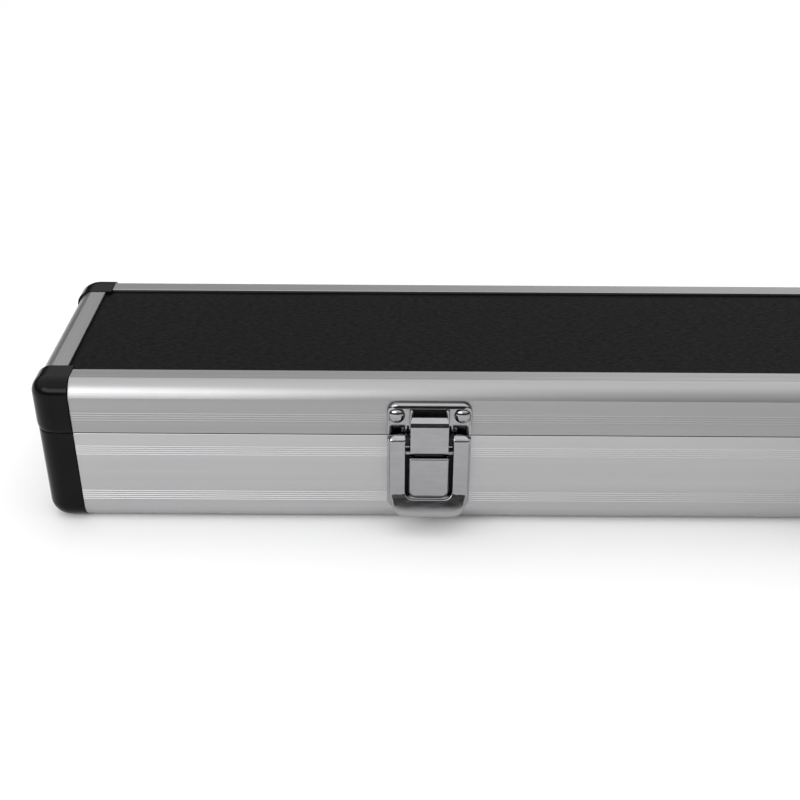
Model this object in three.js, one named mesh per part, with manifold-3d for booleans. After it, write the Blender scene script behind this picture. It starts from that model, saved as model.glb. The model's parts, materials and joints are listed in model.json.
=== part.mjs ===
// Slim hard carry case for a small telescope: aluminium rails, plastic corners and leather-look panels,
// a hinged lid, two toggle latches and a folding carry handle. Millimetres, +X along the case,
// the front (latches and handle) towards -Y, +Z up. Z is 0 under the case, and X and Y are 0 in the
// middle of its outer box, handle and hinges included.
import * as THREE from 'three';
import { mergeVertices } from 'three/addons/utils/BufferGeometryUtils.js';
import Module from 'manifold-3d';

const wasm = await Module();
wasm.setup();

// Case
const length = 900;
const depth = 118;
const height = 78;
const seamZ = 51.5;
const seamGap = 0.4;
const gap = 0.3;
const wall = 1.5;
const lipWidth = 15;
const baseEdgeRadius = 9.4;
const lidEdgeRadius = 7.6;
const cornerRadius = 9.6;
const cornerLeg = 18;

// Panels and the groove that holds them
const panelThickness = 3;
const panelInset = 8;
const grooveFlange = { reach: 12, thickness: 1.2 };

// Foam lining
const foam = { inset: 5, corner: 6, baseTop: 49.5, lidBottom: 56.5, floor: 10 };
const tubeTrough = { half: 300, near: -6, far: 46, roundness: 15 };
const frontRow = { near: -46, far: -14, floor: 16 };
const tripodHalf = 160;
const eyepiece = { radius: 16, first: 190, pitch: 45, count: 3 };
const endPocket = { from: 312, to: 435, halfWidth: 46 };

// Handle, hinges and latches: "proud" is how far a thing stands off the wall it is fixed to
const handle = { pivotZ: 42, pivotProud: 7.5, drop: 30, restProud: 10, rod: 3, armX: 56, bend: 9, stubEnd: 77 };
const grip = { radius: 8.5, half: 44, bore: 3.4 };
const bracket = {
  x: 68, half: 9, low: 24, high: 49, earIn: 5, earOut: 7, earRadius: 5.2, rivets: [28.5, 36.5],
};
const hinge = { spacing: 300, half: 25, knuckleHalf: 9, reach: 19.5, proud: 3.6, barrel: 3, pin: 1.5, tab: 5.4 };
const latchX = 262.3;
const latch = { half: 20, baseLow: 8.7, baseHigh: 50.5, strikeLow: 52.5, strikeHigh: 69.9 };
const pivot = { z: 52, proud: 5.2, pin: 1.2, hookDrop: 7, hookPin: 1 };
const lever = {
  half: 19.1, opening: 11, bottom: 8.2, crease: 22.5, openLow: 19.5, front: 8.6, lip: 11.6, sheet: 1.2,
};
const hook = { half: 9, low: 46.1, high: 63, front: 8.6, tip: 1.8, eye: 1.9, eyeHalf: 7 };
const cover = { half: 9.5, low: 19.9, high: 42.8, front: 7.9, corner: 4 };
const hood = { half: 9.6, low: 63.7, high: 67.8, front: 3.5 };
const rivet = { head: 3.5, dome: 2.2, shank: 1.8, hole: 2.1, tail: 3, tailThickness: 1 };
const strikeRivet = { x: 15.5, z: 63.4 };
const baseRivet = { x: 15.5, z: 30 };

// Worked out
const handleProud = handle.restProud + grip.radius;
const hingeProud = hinge.proud + hinge.tab;
const centreY = (handleProud - hingeProud) / 2;
const frontY = centreY - depth / 2;
const rearY = centreY + depth / 2;
const baseTop = seamZ - seamGap / 2;
const lidBottom = seamZ + seamGap / 2;
const plate = { back: gap, front: gap + lever.sheet };
const hookPivotZ = pivot.z - pivot.hookDrop;

const finishes = {
  aluminium: { color: 0xb4b5b8, roughness: 0.42, metalness: 1 },
  plastic: { color: 0x17181a, roughness: 0.35, metalness: 0 },
  leather: { color: 0x141416, roughness: 0.6, metalness: 0 },
  chrome: { color: 0xd8d9dc, roughness: 0.08, metalness: 1 },
  foam: { color: 0x26272a, roughness: 0.95, metalness: 0 },
  rubber: { color: 0x131315, roughness: 0.7, metalness: 0 },
};

const carryCase = new THREE.Group();

function addPiece(name, geometry, finish) {
  const mesh = new THREE.Mesh(geometry, new THREE.MeshStandardMaterial(finishes[finish]));
  mesh.name = name;
  carryCase.add(mesh);
}

// Solids: joining and cutting closed geometries

function toSolid(geometry) {
  const bare = geometry.clone();
  bare.deleteAttribute('normal');
  bare.deleteAttribute('uv');
  const merged = mergeVertices(bare, 1e-4);
  return new wasm.Manifold(new wasm.Mesh({
    numProp: 3,
    vertProperties: new Float32Array(merged.attributes.position.array),
    triVerts: new Uint32Array(merged.index.array),
  }));
}

function toGeometry(solid) {
  const mesh = solid.getMesh();
  const geometry = new THREE.BufferGeometry();
  geometry.setAttribute('position', new THREE.BufferAttribute(new Float32Array(mesh.vertProperties), 3));
  geometry.setIndex(new THREE.BufferAttribute(new Uint32Array(mesh.triVerts), 1));
  return geometry;
}

function joined(first, ...others) {
  return toGeometry(others.reduce((solid, other) => solid.add(toSolid(other)), toSolid(first)));
}

function cut(body, ...tools) {
  return toGeometry(tools.reduce((solid, tool) => solid.subtract(toSolid(tool)), toSolid(body)));
}

function overlap(first, second) {
  return toGeometry(toSolid(first).intersect(toSolid(second)));
}

// Outlines and extrusions along each axis

function polygon(points) {
  return new THREE.Shape(points.map(([a, b]) => new THREE.Vector2(a, b)));
}

function roundedBox(low, high, radii) {
  const [lowLeft, lowRight, highRight, highLeft] = radii;
  const shape = new THREE.Shape();
  shape.moveTo(low[0] + lowLeft, low[1]);
  shape.lineTo(high[0] - lowRight, low[1]);
  if (lowRight) shape.absarc(high[0] - lowRight, low[1] + lowRight, lowRight, -Math.PI / 2, 0);
  shape.lineTo(high[0], high[1] - highRight);
  if (highRight) shape.absarc(high[0] - highRight, high[1] - highRight, highRight, 0, Math.PI / 2);
  shape.lineTo(low[0] + highLeft, high[1]);
  if (highLeft) shape.absarc(low[0] + highLeft, high[1] - highLeft, highLeft, Math.PI / 2, Math.PI);
  shape.lineTo(low[0], low[1] + lowLeft);
  if (lowLeft) shape.absarc(low[0] + lowLeft, low[1] + lowLeft, lowLeft, Math.PI, 1.5 * Math.PI);
  return shape;
}

function extruded(shape, distance, curveSegments = 4) {
  return new THREE.ExtrudeGeometry(shape, { depth: distance, bevelEnabled: false, curveSegments });
}

const axisX = new THREE.Vector3(1, 0, 0);
const axisY = new THREE.Vector3(0, 1, 0);
const axisZ = new THREE.Vector3(0, 0, 1);

// outline in (y, z), from one x to another
function alongX(shape, from, to, curveSegments) {
  const turn = new THREE.Matrix4().makeBasis(axisY, axisZ, axisX);
  return extruded(shape, to - from, curveSegments).applyMatrix4(turn).translate(from, 0, 0);
}

// outline in (x, z), from one y to a larger one
function alongY(shape, from, to, curveSegments) {
  const turn = new THREE.Matrix4().makeBasis(axisX, axisZ, axisY.clone().negate());
  return extruded(shape, to - from, curveSegments).applyMatrix4(turn).translate(0, to, 0);
}

function alongZ(shape, from, to, curveSegments) {
  return extruded(shape, to - from, curveSegments).translate(0, 0, from);
}

function rodAlongX(radius, from, to, y, z, sides = 16) {
  const rod = new THREE.CylinderGeometry(radius, radius, to - from, sides);
  return rod.rotateZ(-Math.PI / 2).translate((from + to) / 2, y, z);
}

// On the front face: an outline in (proud, z), extruded along x
function onFront(points, from, to) {
  return alongX(polygon(points.map(([proud, z]) => [frontY - proud, z])), from, to);
}

function frontPlate(shape, fromProud, toProud, curveSegments) {
  return alongY(shape, frontY - toProud, frontY - fromProud, curveSegments);
}

// Rivet with a domed head, its shank through a sheet and the wall, and a flared tail behind
function rivetGeometry(x, z) {
  const seat = plate.front + gap;
  const behind = -wall - gap;
  const outline = new THREE.Path();
  outline.moveTo(0, behind - rivet.tailThickness);
  outline.lineTo(rivet.tail, behind - rivet.tailThickness);
  outline.lineTo(rivet.tail, behind);
  outline.lineTo(rivet.shank, behind);
  outline.lineTo(rivet.shank, seat);
  outline.lineTo(rivet.head, seat);
  outline.absellipse(0, seat, rivet.head, rivet.dome, 0, Math.PI / 2);
  const points = outline.getPoints(3);
  points[points.length - 1].x = 0;
  return new THREE.LatheGeometry(points, 12).rotateX(Math.PI).translate(x, frontY, z);
}

function rivetHole(x, z) {
  return new THREE.CylinderGeometry(rivet.hole, rivet.hole, 10, 12).translate(x, frontY, z);
}

// Rails and corners. Outlines run in (distance in from the outer face, height over the lip's face).

function arcPoints(radius, size, fromAngle, steps) {
  const points = [];
  for (let i = 0; i <= steps; i += 1) {
    const angle = fromAngle + (Math.PI / 2 - fromAngle) * (i / steps);
    points.push([radius - size * Math.cos(angle), radius - size * Math.sin(angle)]);
  }
  return points;
}

function shellOutline(edgeRadius, wallHeight, lip) {
  return [
    [lip, 0],
    ...arcPoints(edgeRadius, edgeRadius, 0, 5).reverse(),
    [0, wallHeight],
    [wall, wallHeight],
    ...arcPoints(edgeRadius, edgeRadius - wall, 0, 5),
    [lip, wall],
  ];
}

const grooveLow = wall + 2 * gap + panelThickness;
const grooveHigh = grooveLow + grooveFlange.thickness;

// The rail's section: rounded edge, lip, a groove for the panel and, on the base, a tongue inside the lid
function railOutline(edgeRadius, wallHeight, tongue) {
  const size = edgeRadius - wall;
  const grooveAngle = Math.asin((edgeRadius - grooveLow) / size);
  const flangeRoot = edgeRadius - Math.sqrt(size ** 2 - Math.max(edgeRadius - grooveHigh, 0) ** 2);
  const rim = tongue ? [
    [wall + 1, wallHeight],
    [wall + 1, wallHeight + 2.5],
    [wall + 2.2, wallHeight + 2.5],
    [wall + 2.2, wallHeight - 4],
    [wall, wallHeight - 5.5],
  ] : [[wall, wallHeight]];
  return [
    [lipWidth, 0],
    ...arcPoints(edgeRadius, edgeRadius, 0, 5).reverse(),
    [0, wallHeight],
    ...rim,
    [wall, edgeRadius],
    [flangeRoot, grooveHigh],
    [grooveFlange.reach, grooveHigh],
    [grooveFlange.reach, grooveLow],
    ...arcPoints(edgeRadius, size, grooveAngle, 3),
    [lipWidth, wall],
  ];
}

// Turns an outline over for the lid, whose lip is on top
function atTop(outline) {
  return outline.map(([inward, up]) => [inward, height - up]).reverse();
}

const baseRail = railOutline(baseEdgeRadius, baseTop, true);
const lidRail = atTop(railOutline(lidEdgeRadius, height - lidBottom, false));

const sides = [
  { name: 'front', turn: 0, reach: depth / 2, half: length / 2 },
  { name: 'right', turn: 1, reach: length / 2, half: depth / 2 },
  { name: 'rear', turn: 2, reach: depth / 2, half: length / 2 },
  { name: 'left', turn: 3, reach: length / 2, half: depth / 2 },
];

function onSide(geometry, side) {
  return geometry.translate(0, -side.reach, 0).rotateZ((side.turn * Math.PI) / 2).translate(0, centreY, 0);
}

function addRails(level, outline, holes) {
  for (const side of sides) {
    const half = side.half - cornerLeg - gap;
    const rail = onSide(alongX(polygon(outline), -half, half), side);
    const drilled = side.name === 'front' ? cut(rail, ...holes) : rail;
    addPiece(`${level}_rail_${side.name}`, drilled, 'aluminium');
  }
}

// Corner: a quarter turn of the shell, two legs as wide as the covered rail ends, and a lap behind each rail
function cornerGeometry(edgeRadius, wallHeight, top, lapLow, lapHigh) {
  const place = (outline) => (top ? atTop(outline) : outline);
  const round = place(shellOutline(edgeRadius, wallHeight, cornerRadius));
  const profile = round.map(([inward, up]) => new THREE.Vector2(Math.max(cornerRadius - inward, 0), up));
  const turned = new THREE.LatheGeometry(profile, 28).rotateX(Math.PI / 2);
  turned.translate(cornerRadius, cornerRadius, 0);
  const quarter = new THREE.BoxGeometry(cornerRadius + 1, cornerRadius + 1, 2 * height);
  quarter.translate((cornerRadius - 1) / 2, (cornerRadius - 1) / 2, height / 2);
  const leg = polygon(place(shellOutline(edgeRadius, wallHeight, cornerLeg)));
  const alongLeg = alongX(leg, cornerRadius, cornerLeg);
  const acrossLeg = alongX(leg, -cornerLeg, -cornerRadius).rotateZ(-Math.PI / 2);
  const lap = alongZ(polygon([
    [cornerLeg - 5, wall - 0.5],
    [cornerLeg, wall - 0.5],
    [cornerLeg, wall + gap],
    [cornerLeg + 12, wall + gap],
    [cornerLeg + 12, wall + gap + 1.2],
    [cornerLeg - 5, wall + gap + 1.2],
  ]), lapLow, lapHigh);
  const mirrored = alongZ(polygon([
    [wall - 0.5, cornerLeg - 5],
    [wall - 0.5, cornerLeg],
    [wall + gap, cornerLeg],
    [wall + gap, cornerLeg + 12],
    [wall + gap + 1.2, cornerLeg + 12],
    [wall + gap + 1.2, cornerLeg - 5],
  ]), lapLow, lapHigh);
  return joined(overlap(turned, quarter), alongLeg, acrossLeg, lap, mirrored);
}

const corners = [
  { name: 'front_left', turn: 0, x: -length / 2, y: frontY },
  { name: 'front_right', turn: 1, x: length / 2, y: frontY },
  { name: 'rear_right', turn: 2, x: length / 2, y: rearY },
  { name: 'rear_left', turn: 3, x: -length / 2, y: rearY },
];

function addCorners(level, geometry) {
  for (const corner of corners) {
    const placed = geometry.clone().rotateZ((corner.turn * Math.PI) / 2).translate(corner.x, corner.y, 0);
    addPiece(`${level}_corner_${corner.name}`, placed, 'plastic');
  }
}

function mirroredPair(build) {
  return [build(-1), build(1)];
}

function addShells() {
  const atLatches = (spot) => [-latchX, latchX].flatMap((x) => (
    mirroredPair((hand) => rivetHole(x + hand * spot.x, spot.z))
  ));
  const atBrackets = mirroredPair((hand) => bracket.rivets.map((z) => rivetHole(hand * bracket.x, z))).flat();
  addRails('base', baseRail, [...atLatches(baseRivet), ...atBrackets]);
  addRails('lid', lidRail, atLatches(strikeRivet));
  addCorners('base', cornerGeometry(baseEdgeRadius, baseTop, false, 8, 45));
  addCorners('lid', cornerGeometry(lidEdgeRadius, height - lidBottom, true, 54.5, 70));
}

function panelGeometry(low) {
  const halfX = length / 2 - panelInset;
  const halfY = depth / 2 - panelInset;
  const board = roundedBox([-halfX, centreY - halfY], [halfX, centreY + halfY], [4, 4, 4, 4]);
  return alongZ(board, low, low + panelThickness);
}

// Foam: the base block has a trough for the tube, a row of pockets in front of it and a pocket at each end

function foamBlock(low, high) {
  const halfX = length / 2 - foam.inset;
  const halfY = depth / 2 - foam.inset;
  const radius = foam.corner;
  const block = roundedBox([-halfX, centreY - halfY], [halfX, centreY + halfY], [radius, radius, radius, radius]);
  return alongZ(block, low, high);
}

function tubeCutter() {
  const { near, far, half, roundness } = tubeTrough;
  const section = roundedBox([centreY + near, foam.floor], [centreY + far, height], [roundness, roundness, 0, 0]);
  return alongX(section, -half, half);
}

function pocketCutter(fromX, toX, nearY, farY, floor) {
  const radius = 6;
  const outline = roundedBox([fromX, centreY + nearY], [toX, centreY + farY], [radius, radius, radius, radius]);
  return alongZ(outline, floor, height, 3);
}

function eyepieceCutter(x) {
  const deep = height - frontRow.floor;
  const pocket = new THREE.CylinderGeometry(eyepiece.radius, eyepiece.radius, deep, 20).rotateX(Math.PI / 2);
  return pocket.translate(x, centreY + (frontRow.near + frontRow.far) / 2, frontRow.floor + deep / 2);
}

function addLining() {
  const { near, far, floor } = frontRow;
  const cutters = [tubeCutter(), pocketCutter(-tripodHalf, tripodHalf, near, far, floor)];
  for (const end of [-1, 1]) {
    const [fromX, toX] = [end * endPocket.from, end * endPocket.to].sort((a, b) => a - b);
    cutters.push(pocketCutter(fromX, toX, -endPocket.halfWidth, endPocket.halfWidth, foam.floor));
    for (let i = 0; i < eyepiece.count; i += 1) {
      cutters.push(eyepieceCutter(end * (eyepiece.first + i * eyepiece.pitch)));
    }
  }
  addPiece('base_foam', cut(foamBlock(grooveHigh + gap, foam.baseTop), ...cutters), 'foam');
  addPiece('lid_foam', foamBlock(foam.lidBottom, height - grooveHigh - gap), 'foam');
}

// Latches. Outlines in (x, z) are about the latch's own middle, and those in (proud, z) are on the front face.

function sideBand(side, inner, outer) {
  return side > 0 ? [inner, outer] : [-outer, -inner];
}

function pinAlongX(radius, halfLength, proud, z, sides) {
  return rodAlongX(radius, -halfLength, halfLength, frontY - proud, z, sides);
}

function latchBaseGeometry() {
  const sheet = roundedBox([-latch.half, latch.baseLow], [latch.half, latch.baseHigh], [4, 4, 1, 1]);
  const raised = roundedBox([-cover.half, cover.low], [cover.half, cover.high], [cover.corner, cover.corner, 0, 0]);
  const inside = cover.half - lever.sheet;
  const hollow = roundedBox([-inside, cover.low + lever.sheet], [inside, cover.high + 1], [3, 3, 0, 0]);
  const shell = cut(
    frontPlate(raised, plate.front - 0.4, cover.front),
    frontPlate(hollow, plate.front, cover.front - lever.sheet),
  );
  const ears = mirroredPair((side) => {
    const ear = new THREE.Shape();
    ear.moveTo(frontY - 0.8, 47);
    ear.lineTo(frontY - pivot.proud, 47);
    ear.absarc(frontY - pivot.proud, pivot.z, 3, -Math.PI / 2, -1.6 * Math.PI, true);
    ear.lineTo(frontY - 0.8, 50.4);
    return alongX(ear, ...sideBand(side, 9.5, 10.7), 10);
  });
  const holes = mirroredPair((side) => rivetHole(side * baseRivet.x, baseRivet.z));
  const pinHole = pinAlongX(pivot.pin + gap, 14, pivot.proud, pivot.z, 12);
  return cut(joined(frontPlate(sheet, plate.back, plate.front), shell, ...ears), pinHole, ...holes);
}

function latchStrikeGeometry() {
  const { half, strikeLow, strikeHigh } = latch;
  const sheet = roundedBox([-half, strikeLow], [half, strikeHigh], [1, 1, 5, 5]);
  const rimOuter = roundedBox([-half, strikeLow + 2], [half, strikeHigh], [0, 0, 5, 5]);
  const rimInner = roundedBox([-half + 0.7, strikeLow], [half - 0.7, strikeHigh - 1.6], [0, 0, 4, 4]);
  const rim = cut(frontPlate(rimOuter, 1, 2.7), frontPlate(rimInner, 0, 4));
  const middle = (hood.low + hood.high) / 2;
  const bump = onFront([
    [1, hood.low],
    [hood.front, hood.low + 0.6],
    [hood.front, middle + 1],
    [1, hood.high],
  ], -hood.half, hood.half);
  const window = frontPlate(roundedBox([-9.4, 60.4], [9.4, 63.4], [0, 0, 0, 0]), -1, 4);
  const holes = mirroredPair((side) => rivetHole(side * strikeRivet.x, strikeRivet.z));
  return cut(joined(frontPlate(sheet, plate.back, plate.front), rim, bump), window, ...holes);
}

// The lever's sheet: curled over the pivot, flat in front, and flared into a finger lip at the bottom
function leverSection() {
  const outer = [];
  const inner = [];
  const curl = lever.front - pivot.proud;
  for (let i = 0; i <= 4; i += 1) {
    const angle = (Math.PI / 2) * (1 - i / 4);
    const size = curl - lever.sheet;
    outer.push([pivot.proud + curl * Math.cos(angle), pivot.z + curl * Math.sin(angle)]);
    inner.push([pivot.proud + size * Math.cos(angle), pivot.z + size * Math.sin(angle)]);
  }
  const flare = lever.lip - lever.front;
  const flareHeight = 9.5;
  for (let i = 0; i <= 4; i += 1) {
    const z = lever.crease - flareHeight * (i / 4);
    const proud = lever.front + flare * Math.sin((Math.PI / 2) * (i / 4));
    outer.push([proud, z]);
    inner.push([proud - lever.sheet, z - 0.3]);
  }
  outer.push([lever.lip, lever.bottom]);
  inner.push([lever.lip - lever.sheet, lever.bottom]);
  return [...outer, ...inner.reverse()];
}

function leverGeometry() {
  const sheet = onFront(leverSection(), -lever.half, lever.half);
  const outline = roundedBox([-lever.half, lever.bottom], [lever.half, height], [7, 7, 0, 0]);
  const opening = roundedBox([-lever.opening, lever.openLow], [lever.opening, height], [4, 4, 0, 0]);
  const bow = cut(overlap(sheet, frontPlate(outline, 0, 20)), frontPlate(opening, 0, 20));
  const lugs = mirroredPair((side) => {
    const shape = roundedBox([frontY - 8, 41.5], [frontY - 2.9, pivot.z + 2.8], [2, 2, 2.3, 2.4]);
    return alongX(shape, ...sideBand(side, 11.1, 12.3));
  });
  const pinHole = pinAlongX(pivot.pin + gap, 14, pivot.proud, pivot.z, 12);
  const hookPinHole = pinAlongX(pivot.hookPin + gap, 14, pivot.proud, hookPivotZ, 12);
  return cut(joined(bow, ...lugs), pinHole, hookPinHole);
}

function hookGeometry() {
  const back = hook.front - lever.sheet;
  const claw = onFront([
    [hook.tip, hook.high - lever.sheet],
    [back, hook.high - lever.sheet],
    [back, hook.low + lever.sheet],
    [pivot.proud, hook.low + lever.sheet],
    [pivot.proud, hook.low],
    [hook.front - 0.4, hook.low],
    [hook.front, hook.low + 0.4],
    [hook.front, hook.high - 1],
    [hook.front - 0.9, hook.high],
    [hook.tip, hook.high],
  ], -hook.half, hook.half);
  const eye = pinAlongX(hook.eye, hook.eyeHalf, pivot.proud, hookPivotZ, 16);
  const bore = pinAlongX(pivot.hookPin + gap, hook.eyeHalf + 1, pivot.proud, hookPivotZ, 12);
  return cut(joined(claw, eye), bore);
}

function addLatch(side, x) {
  const add = (name, geometry) => addPiece(`${name}_${side}`, geometry.translate(x, 0, 0), 'chrome');
  add('latch_base', latchBaseGeometry());
  add('latch_strike', latchStrikeGeometry());
  add('latch_lever', leverGeometry());
  add('latch_hook', hookGeometry());
  add('lever_pin', pinAlongX(pivot.pin, 13, pivot.proud, pivot.z, 12));
  add('hook_pin', pinAlongX(pivot.hookPin, 13, pivot.proud, hookPivotZ, 12));
  for (const [letter, hand] of [['a', -1], ['b', 1]]) {
    add(`strike_rivet_${letter}`, rivetGeometry(hand * strikeRivet.x, strikeRivet.z));
    add(`base_rivet_${letter}`, rivetGeometry(hand * baseRivet.x, baseRivet.z));
  }
}

// Handle: a bent rod with a moulded grip, swinging in two riveted brackets

const lean = Math.atan2(handle.restProud - handle.pivotProud, handle.drop);
const armLength = Math.hypot(handle.restProud - handle.pivotProud, handle.drop);

function hungFromPivot(geometry) {
  return geometry.rotateX(-lean).translate(0, frontY - handle.pivotProud, handle.pivotZ);
}

function bailPath() {
  const path = new THREE.CurvePath();
  const { armX, bend, stubEnd } = handle;
  const upperBend = 4.5;
  const spot = (x, z) => new THREE.Vector3(x, 0, z);
  const straight = (a, b) => path.add(new THREE.LineCurve3(a, b));
  const elbow = (a, corner, b) => path.add(new THREE.QuadraticBezierCurve3(a, corner, b));
  const low = -armLength;
  straight(spot(-stubEnd, 0), spot(-armX - upperBend, 0));
  elbow(spot(-armX - upperBend, 0), spot(-armX, 0), spot(-armX, -upperBend));
  straight(spot(-armX, -upperBend), spot(-armX, low + bend));
  elbow(spot(-armX, low + bend), spot(-armX, low), spot(-armX + bend, low));
  straight(spot(-armX + bend, low), spot(armX - bend, low));
  elbow(spot(armX - bend, low), spot(armX, low), spot(armX, low + bend));
  straight(spot(armX, low + bend), spot(armX, -upperBend));
  elbow(spot(armX, -upperBend), spot(armX, 0), spot(armX + upperBend, 0));
  straight(spot(armX + upperBend, 0), spot(stubEnd, 0));
  return path;
}

function bailGeometry() {
  const section = new THREE.Shape();
  section.absarc(0, 0, handle.rod, 0, 2 * Math.PI);
  const rod = new THREE.ExtrudeGeometry(section, {
    steps: 52,
    curveSegments: 4,
    bevelEnabled: false,
    extrudePath: bailPath(),
  });
  return hungFromPivot(rod);
}

function gripGeometry() {
  const { radius, half, bore } = grip;
  const profile = [
    [bore, -half],
    [radius - 1.5, -half],
    [radius, -half + 3],
    [radius - 0.6, -half / 3],
    [radius - 0.6, half / 3],
    [radius, half - 3],
    [radius - 1.5, half],
    [bore, half],
    [bore, -half],
  ].map(([r, along]) => new THREE.Vector2(r, along));
  const turned = new THREE.LatheGeometry(profile, 16).rotateZ(-Math.PI / 2);
  return hungFromPivot(turned.translate(0, 0, -armLength));
}

function bracketGeometry() {
  const { half, low, high, earIn, earOut, earRadius, rivets } = bracket;
  const sheet = frontPlate(roundedBox([-half, low], [half, high], [3, 3, 3, 3]), plate.back, plate.front);
  const ears = mirroredPair((side) => {
    const ear = new THREE.Shape();
    ear.moveTo(frontY - 0.8, handle.pivotZ - earRadius);
    ear.lineTo(frontY - handle.pivotProud, handle.pivotZ - earRadius);
    ear.absarc(frontY - handle.pivotProud, handle.pivotZ, earRadius, -Math.PI / 2, Math.PI / 2, true);
    ear.lineTo(frontY - 0.8, handle.pivotZ + earRadius);
    return alongX(ear, ...sideBand(side, earIn, earOut), 10);
  });
  const bore = pinAlongX(handle.rod + gap, 10, handle.pivotProud, handle.pivotZ, 16);
  return cut(joined(sheet, ...ears), bore, ...rivets.map((z) => rivetHole(0, z)));
}

function addHandle() {
  for (const [side, hand] of [['left', -1], ['right', 1]]) {
    addPiece(`handle_bracket_${side}`, bracketGeometry().translate(hand * bracket.x, 0, 0), 'chrome');
    bracket.rivets.forEach((z, i) => {
      addPiece(`bracket_rivet_${side}_${'ab'[i]}`, rivetGeometry(hand * bracket.x, z), 'chrome');
    });
  }
  addPiece('handle_bail', bailGeometry(), 'chrome');
  addPiece('handle_grip', gripGeometry(), 'rubber');
}

// Hinges: three knuckles on a pin, and a tab on the lid's knuckle that meets the base leaf when open

function rearBlock(fromProud, toProud, low, high, fromX, toX) {
  const outline = roundedBox([rearY + fromProud, low], [rearY + toProud, high], [0, 0, 0, 0]);
  return alongX(outline, fromX, toX);
}

function knuckle(fromX, toX) {
  return rodAlongX(hinge.barrel, fromX, toX, rearY + hinge.proud, seamZ, 16);
}

function hingeLeaf(up) {
  const span = (near, far) => [seamZ + up * near, seamZ + up * far].sort((a, b) => a - b);
  const { half, knuckleHalf, reach, barrel } = hinge;
  const sheet = rearBlock(plate.back, plate.front, ...span(barrel + 0.7, reach), -half, half);
  const stretches = up > 0 ? [[-knuckleHalf, knuckleHalf]] : [[-half, -knuckleHalf - gap], [knuckleHalf + gap, half]];
  const barrels = stretches.flatMap(([from, to]) => [
    knuckle(from, to),
    rearBlock(plate.back, plate.front, ...span(0, barrel + 2), from, to),
  ]);
  const tab = rearBlock(hinge.proud + 2, hingeProud, seamZ - 0.6, seamZ + 0.6, -knuckleHalf, knuckleHalf);
  const bore = rodAlongX(hinge.pin + gap, -half - 1, half + 1, rearY + hinge.proud, seamZ, 16);
  return cut(joined(sheet, ...barrels, ...(up > 0 ? [tab] : [])), bore);
}

function addHinges() {
  for (const [name, place] of [['left', -1], ['middle', 0], ['right', 1]]) {
    const x = place * hinge.spacing;
    addPiece(`hinge_leaf_base_${name}`, hingeLeaf(-1).translate(x, 0, 0), 'chrome');
    addPiece(`hinge_leaf_lid_${name}`, hingeLeaf(1).translate(x, 0, 0), 'chrome');
    const pin = rodAlongX(hinge.pin, -hinge.half - 0.6, hinge.half + 0.6, rearY + hinge.proud, seamZ, 12);
    addPiece(`hinge_pin_${name}`, pin.translate(x, 0, 0), 'chrome');
  }
}

addShells();
addPiece('base_panel', panelGeometry(wall + gap), 'leather');
addPiece('lid_panel', panelGeometry(height - wall - gap - panelThickness), 'leather');
addLining();
addLatch('left', -latchX);
addLatch('right', latchX);
addHandle();
addHinges();

export default carryCase;
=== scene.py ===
import bpy
import bmesh
import json
import math
from mathutils import Matrix, Vector


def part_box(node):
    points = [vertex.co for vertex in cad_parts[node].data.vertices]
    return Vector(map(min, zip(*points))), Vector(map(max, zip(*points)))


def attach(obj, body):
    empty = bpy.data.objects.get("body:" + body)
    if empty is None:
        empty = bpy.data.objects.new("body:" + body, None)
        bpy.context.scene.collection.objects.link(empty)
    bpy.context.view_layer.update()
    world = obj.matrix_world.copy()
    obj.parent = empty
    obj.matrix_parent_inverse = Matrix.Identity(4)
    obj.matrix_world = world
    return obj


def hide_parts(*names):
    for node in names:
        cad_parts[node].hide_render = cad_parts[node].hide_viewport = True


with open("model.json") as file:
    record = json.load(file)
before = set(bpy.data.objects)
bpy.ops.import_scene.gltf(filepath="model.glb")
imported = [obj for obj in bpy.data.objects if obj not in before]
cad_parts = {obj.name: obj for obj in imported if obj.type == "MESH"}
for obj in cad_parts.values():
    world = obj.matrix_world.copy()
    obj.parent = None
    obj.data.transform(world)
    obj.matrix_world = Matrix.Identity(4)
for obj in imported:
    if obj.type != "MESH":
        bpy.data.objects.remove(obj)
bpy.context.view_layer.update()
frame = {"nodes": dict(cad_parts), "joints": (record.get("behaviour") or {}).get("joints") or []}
mm = 0.001

# the case's own planes, read off the frame
case = {
    "left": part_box("base_corner_front_left")[0].x,
    "right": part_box("base_corner_front_right")[1].x,
    "front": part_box("base_rail_front")[0].y,
    "rear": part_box("base_rail_rear")[1].y,
    "baseTop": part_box("base_corner_front_left")[1].z,
    "lidLow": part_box("lid_rail_front")[0].z,
    "top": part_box("lid_rail_front")[1].z,
    "lip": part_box("lid_rail_front")[1].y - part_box("lid_rail_front")[0].y,
}
sideNames = ("left", "right")
print("frame loaded, front face at", round(case["front"], 4))


# materials

def newMaterial(name, settings):
    material = bpy.data.materials.new(name)
    material.use_nodes = True
    shader = material.node_tree.nodes["Principled BSDF"]
    for socket, value in settings.items():
        shader.inputs[socket].default_value = value
    return material, material.node_tree, shader


def addNode(tree, kind, inputs=None, **settings):
    made = tree.nodes.new(kind)
    for key, value in settings.items():
        setattr(made, key, value)
    for key, value in (inputs or {}).items():
        if isinstance(value, bpy.types.NodeSocket):
            tree.links.new(value, made.inputs[key])
        else:
            made.inputs[key].default_value = value
    return made


def noiseField(tree, scale, detail=3.0, roughness=0.55, distortion=0.0):
    # a noise that reads object coordinates; scale is per metre along each axis
    coords = addNode(tree, "ShaderNodeTexCoord")
    spread = addNode(tree, "ShaderNodeMapping", {"Vector": coords.outputs["Object"], "Scale": scale})
    made = addNode(tree, "ShaderNodeTexNoise", {
        "Vector": spread.outputs["Vector"], "Scale": 1.0, "Detail": detail,
        "Roughness": roughness, "Distortion": distortion,
    })
    return made.outputs["Fac"]


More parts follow.
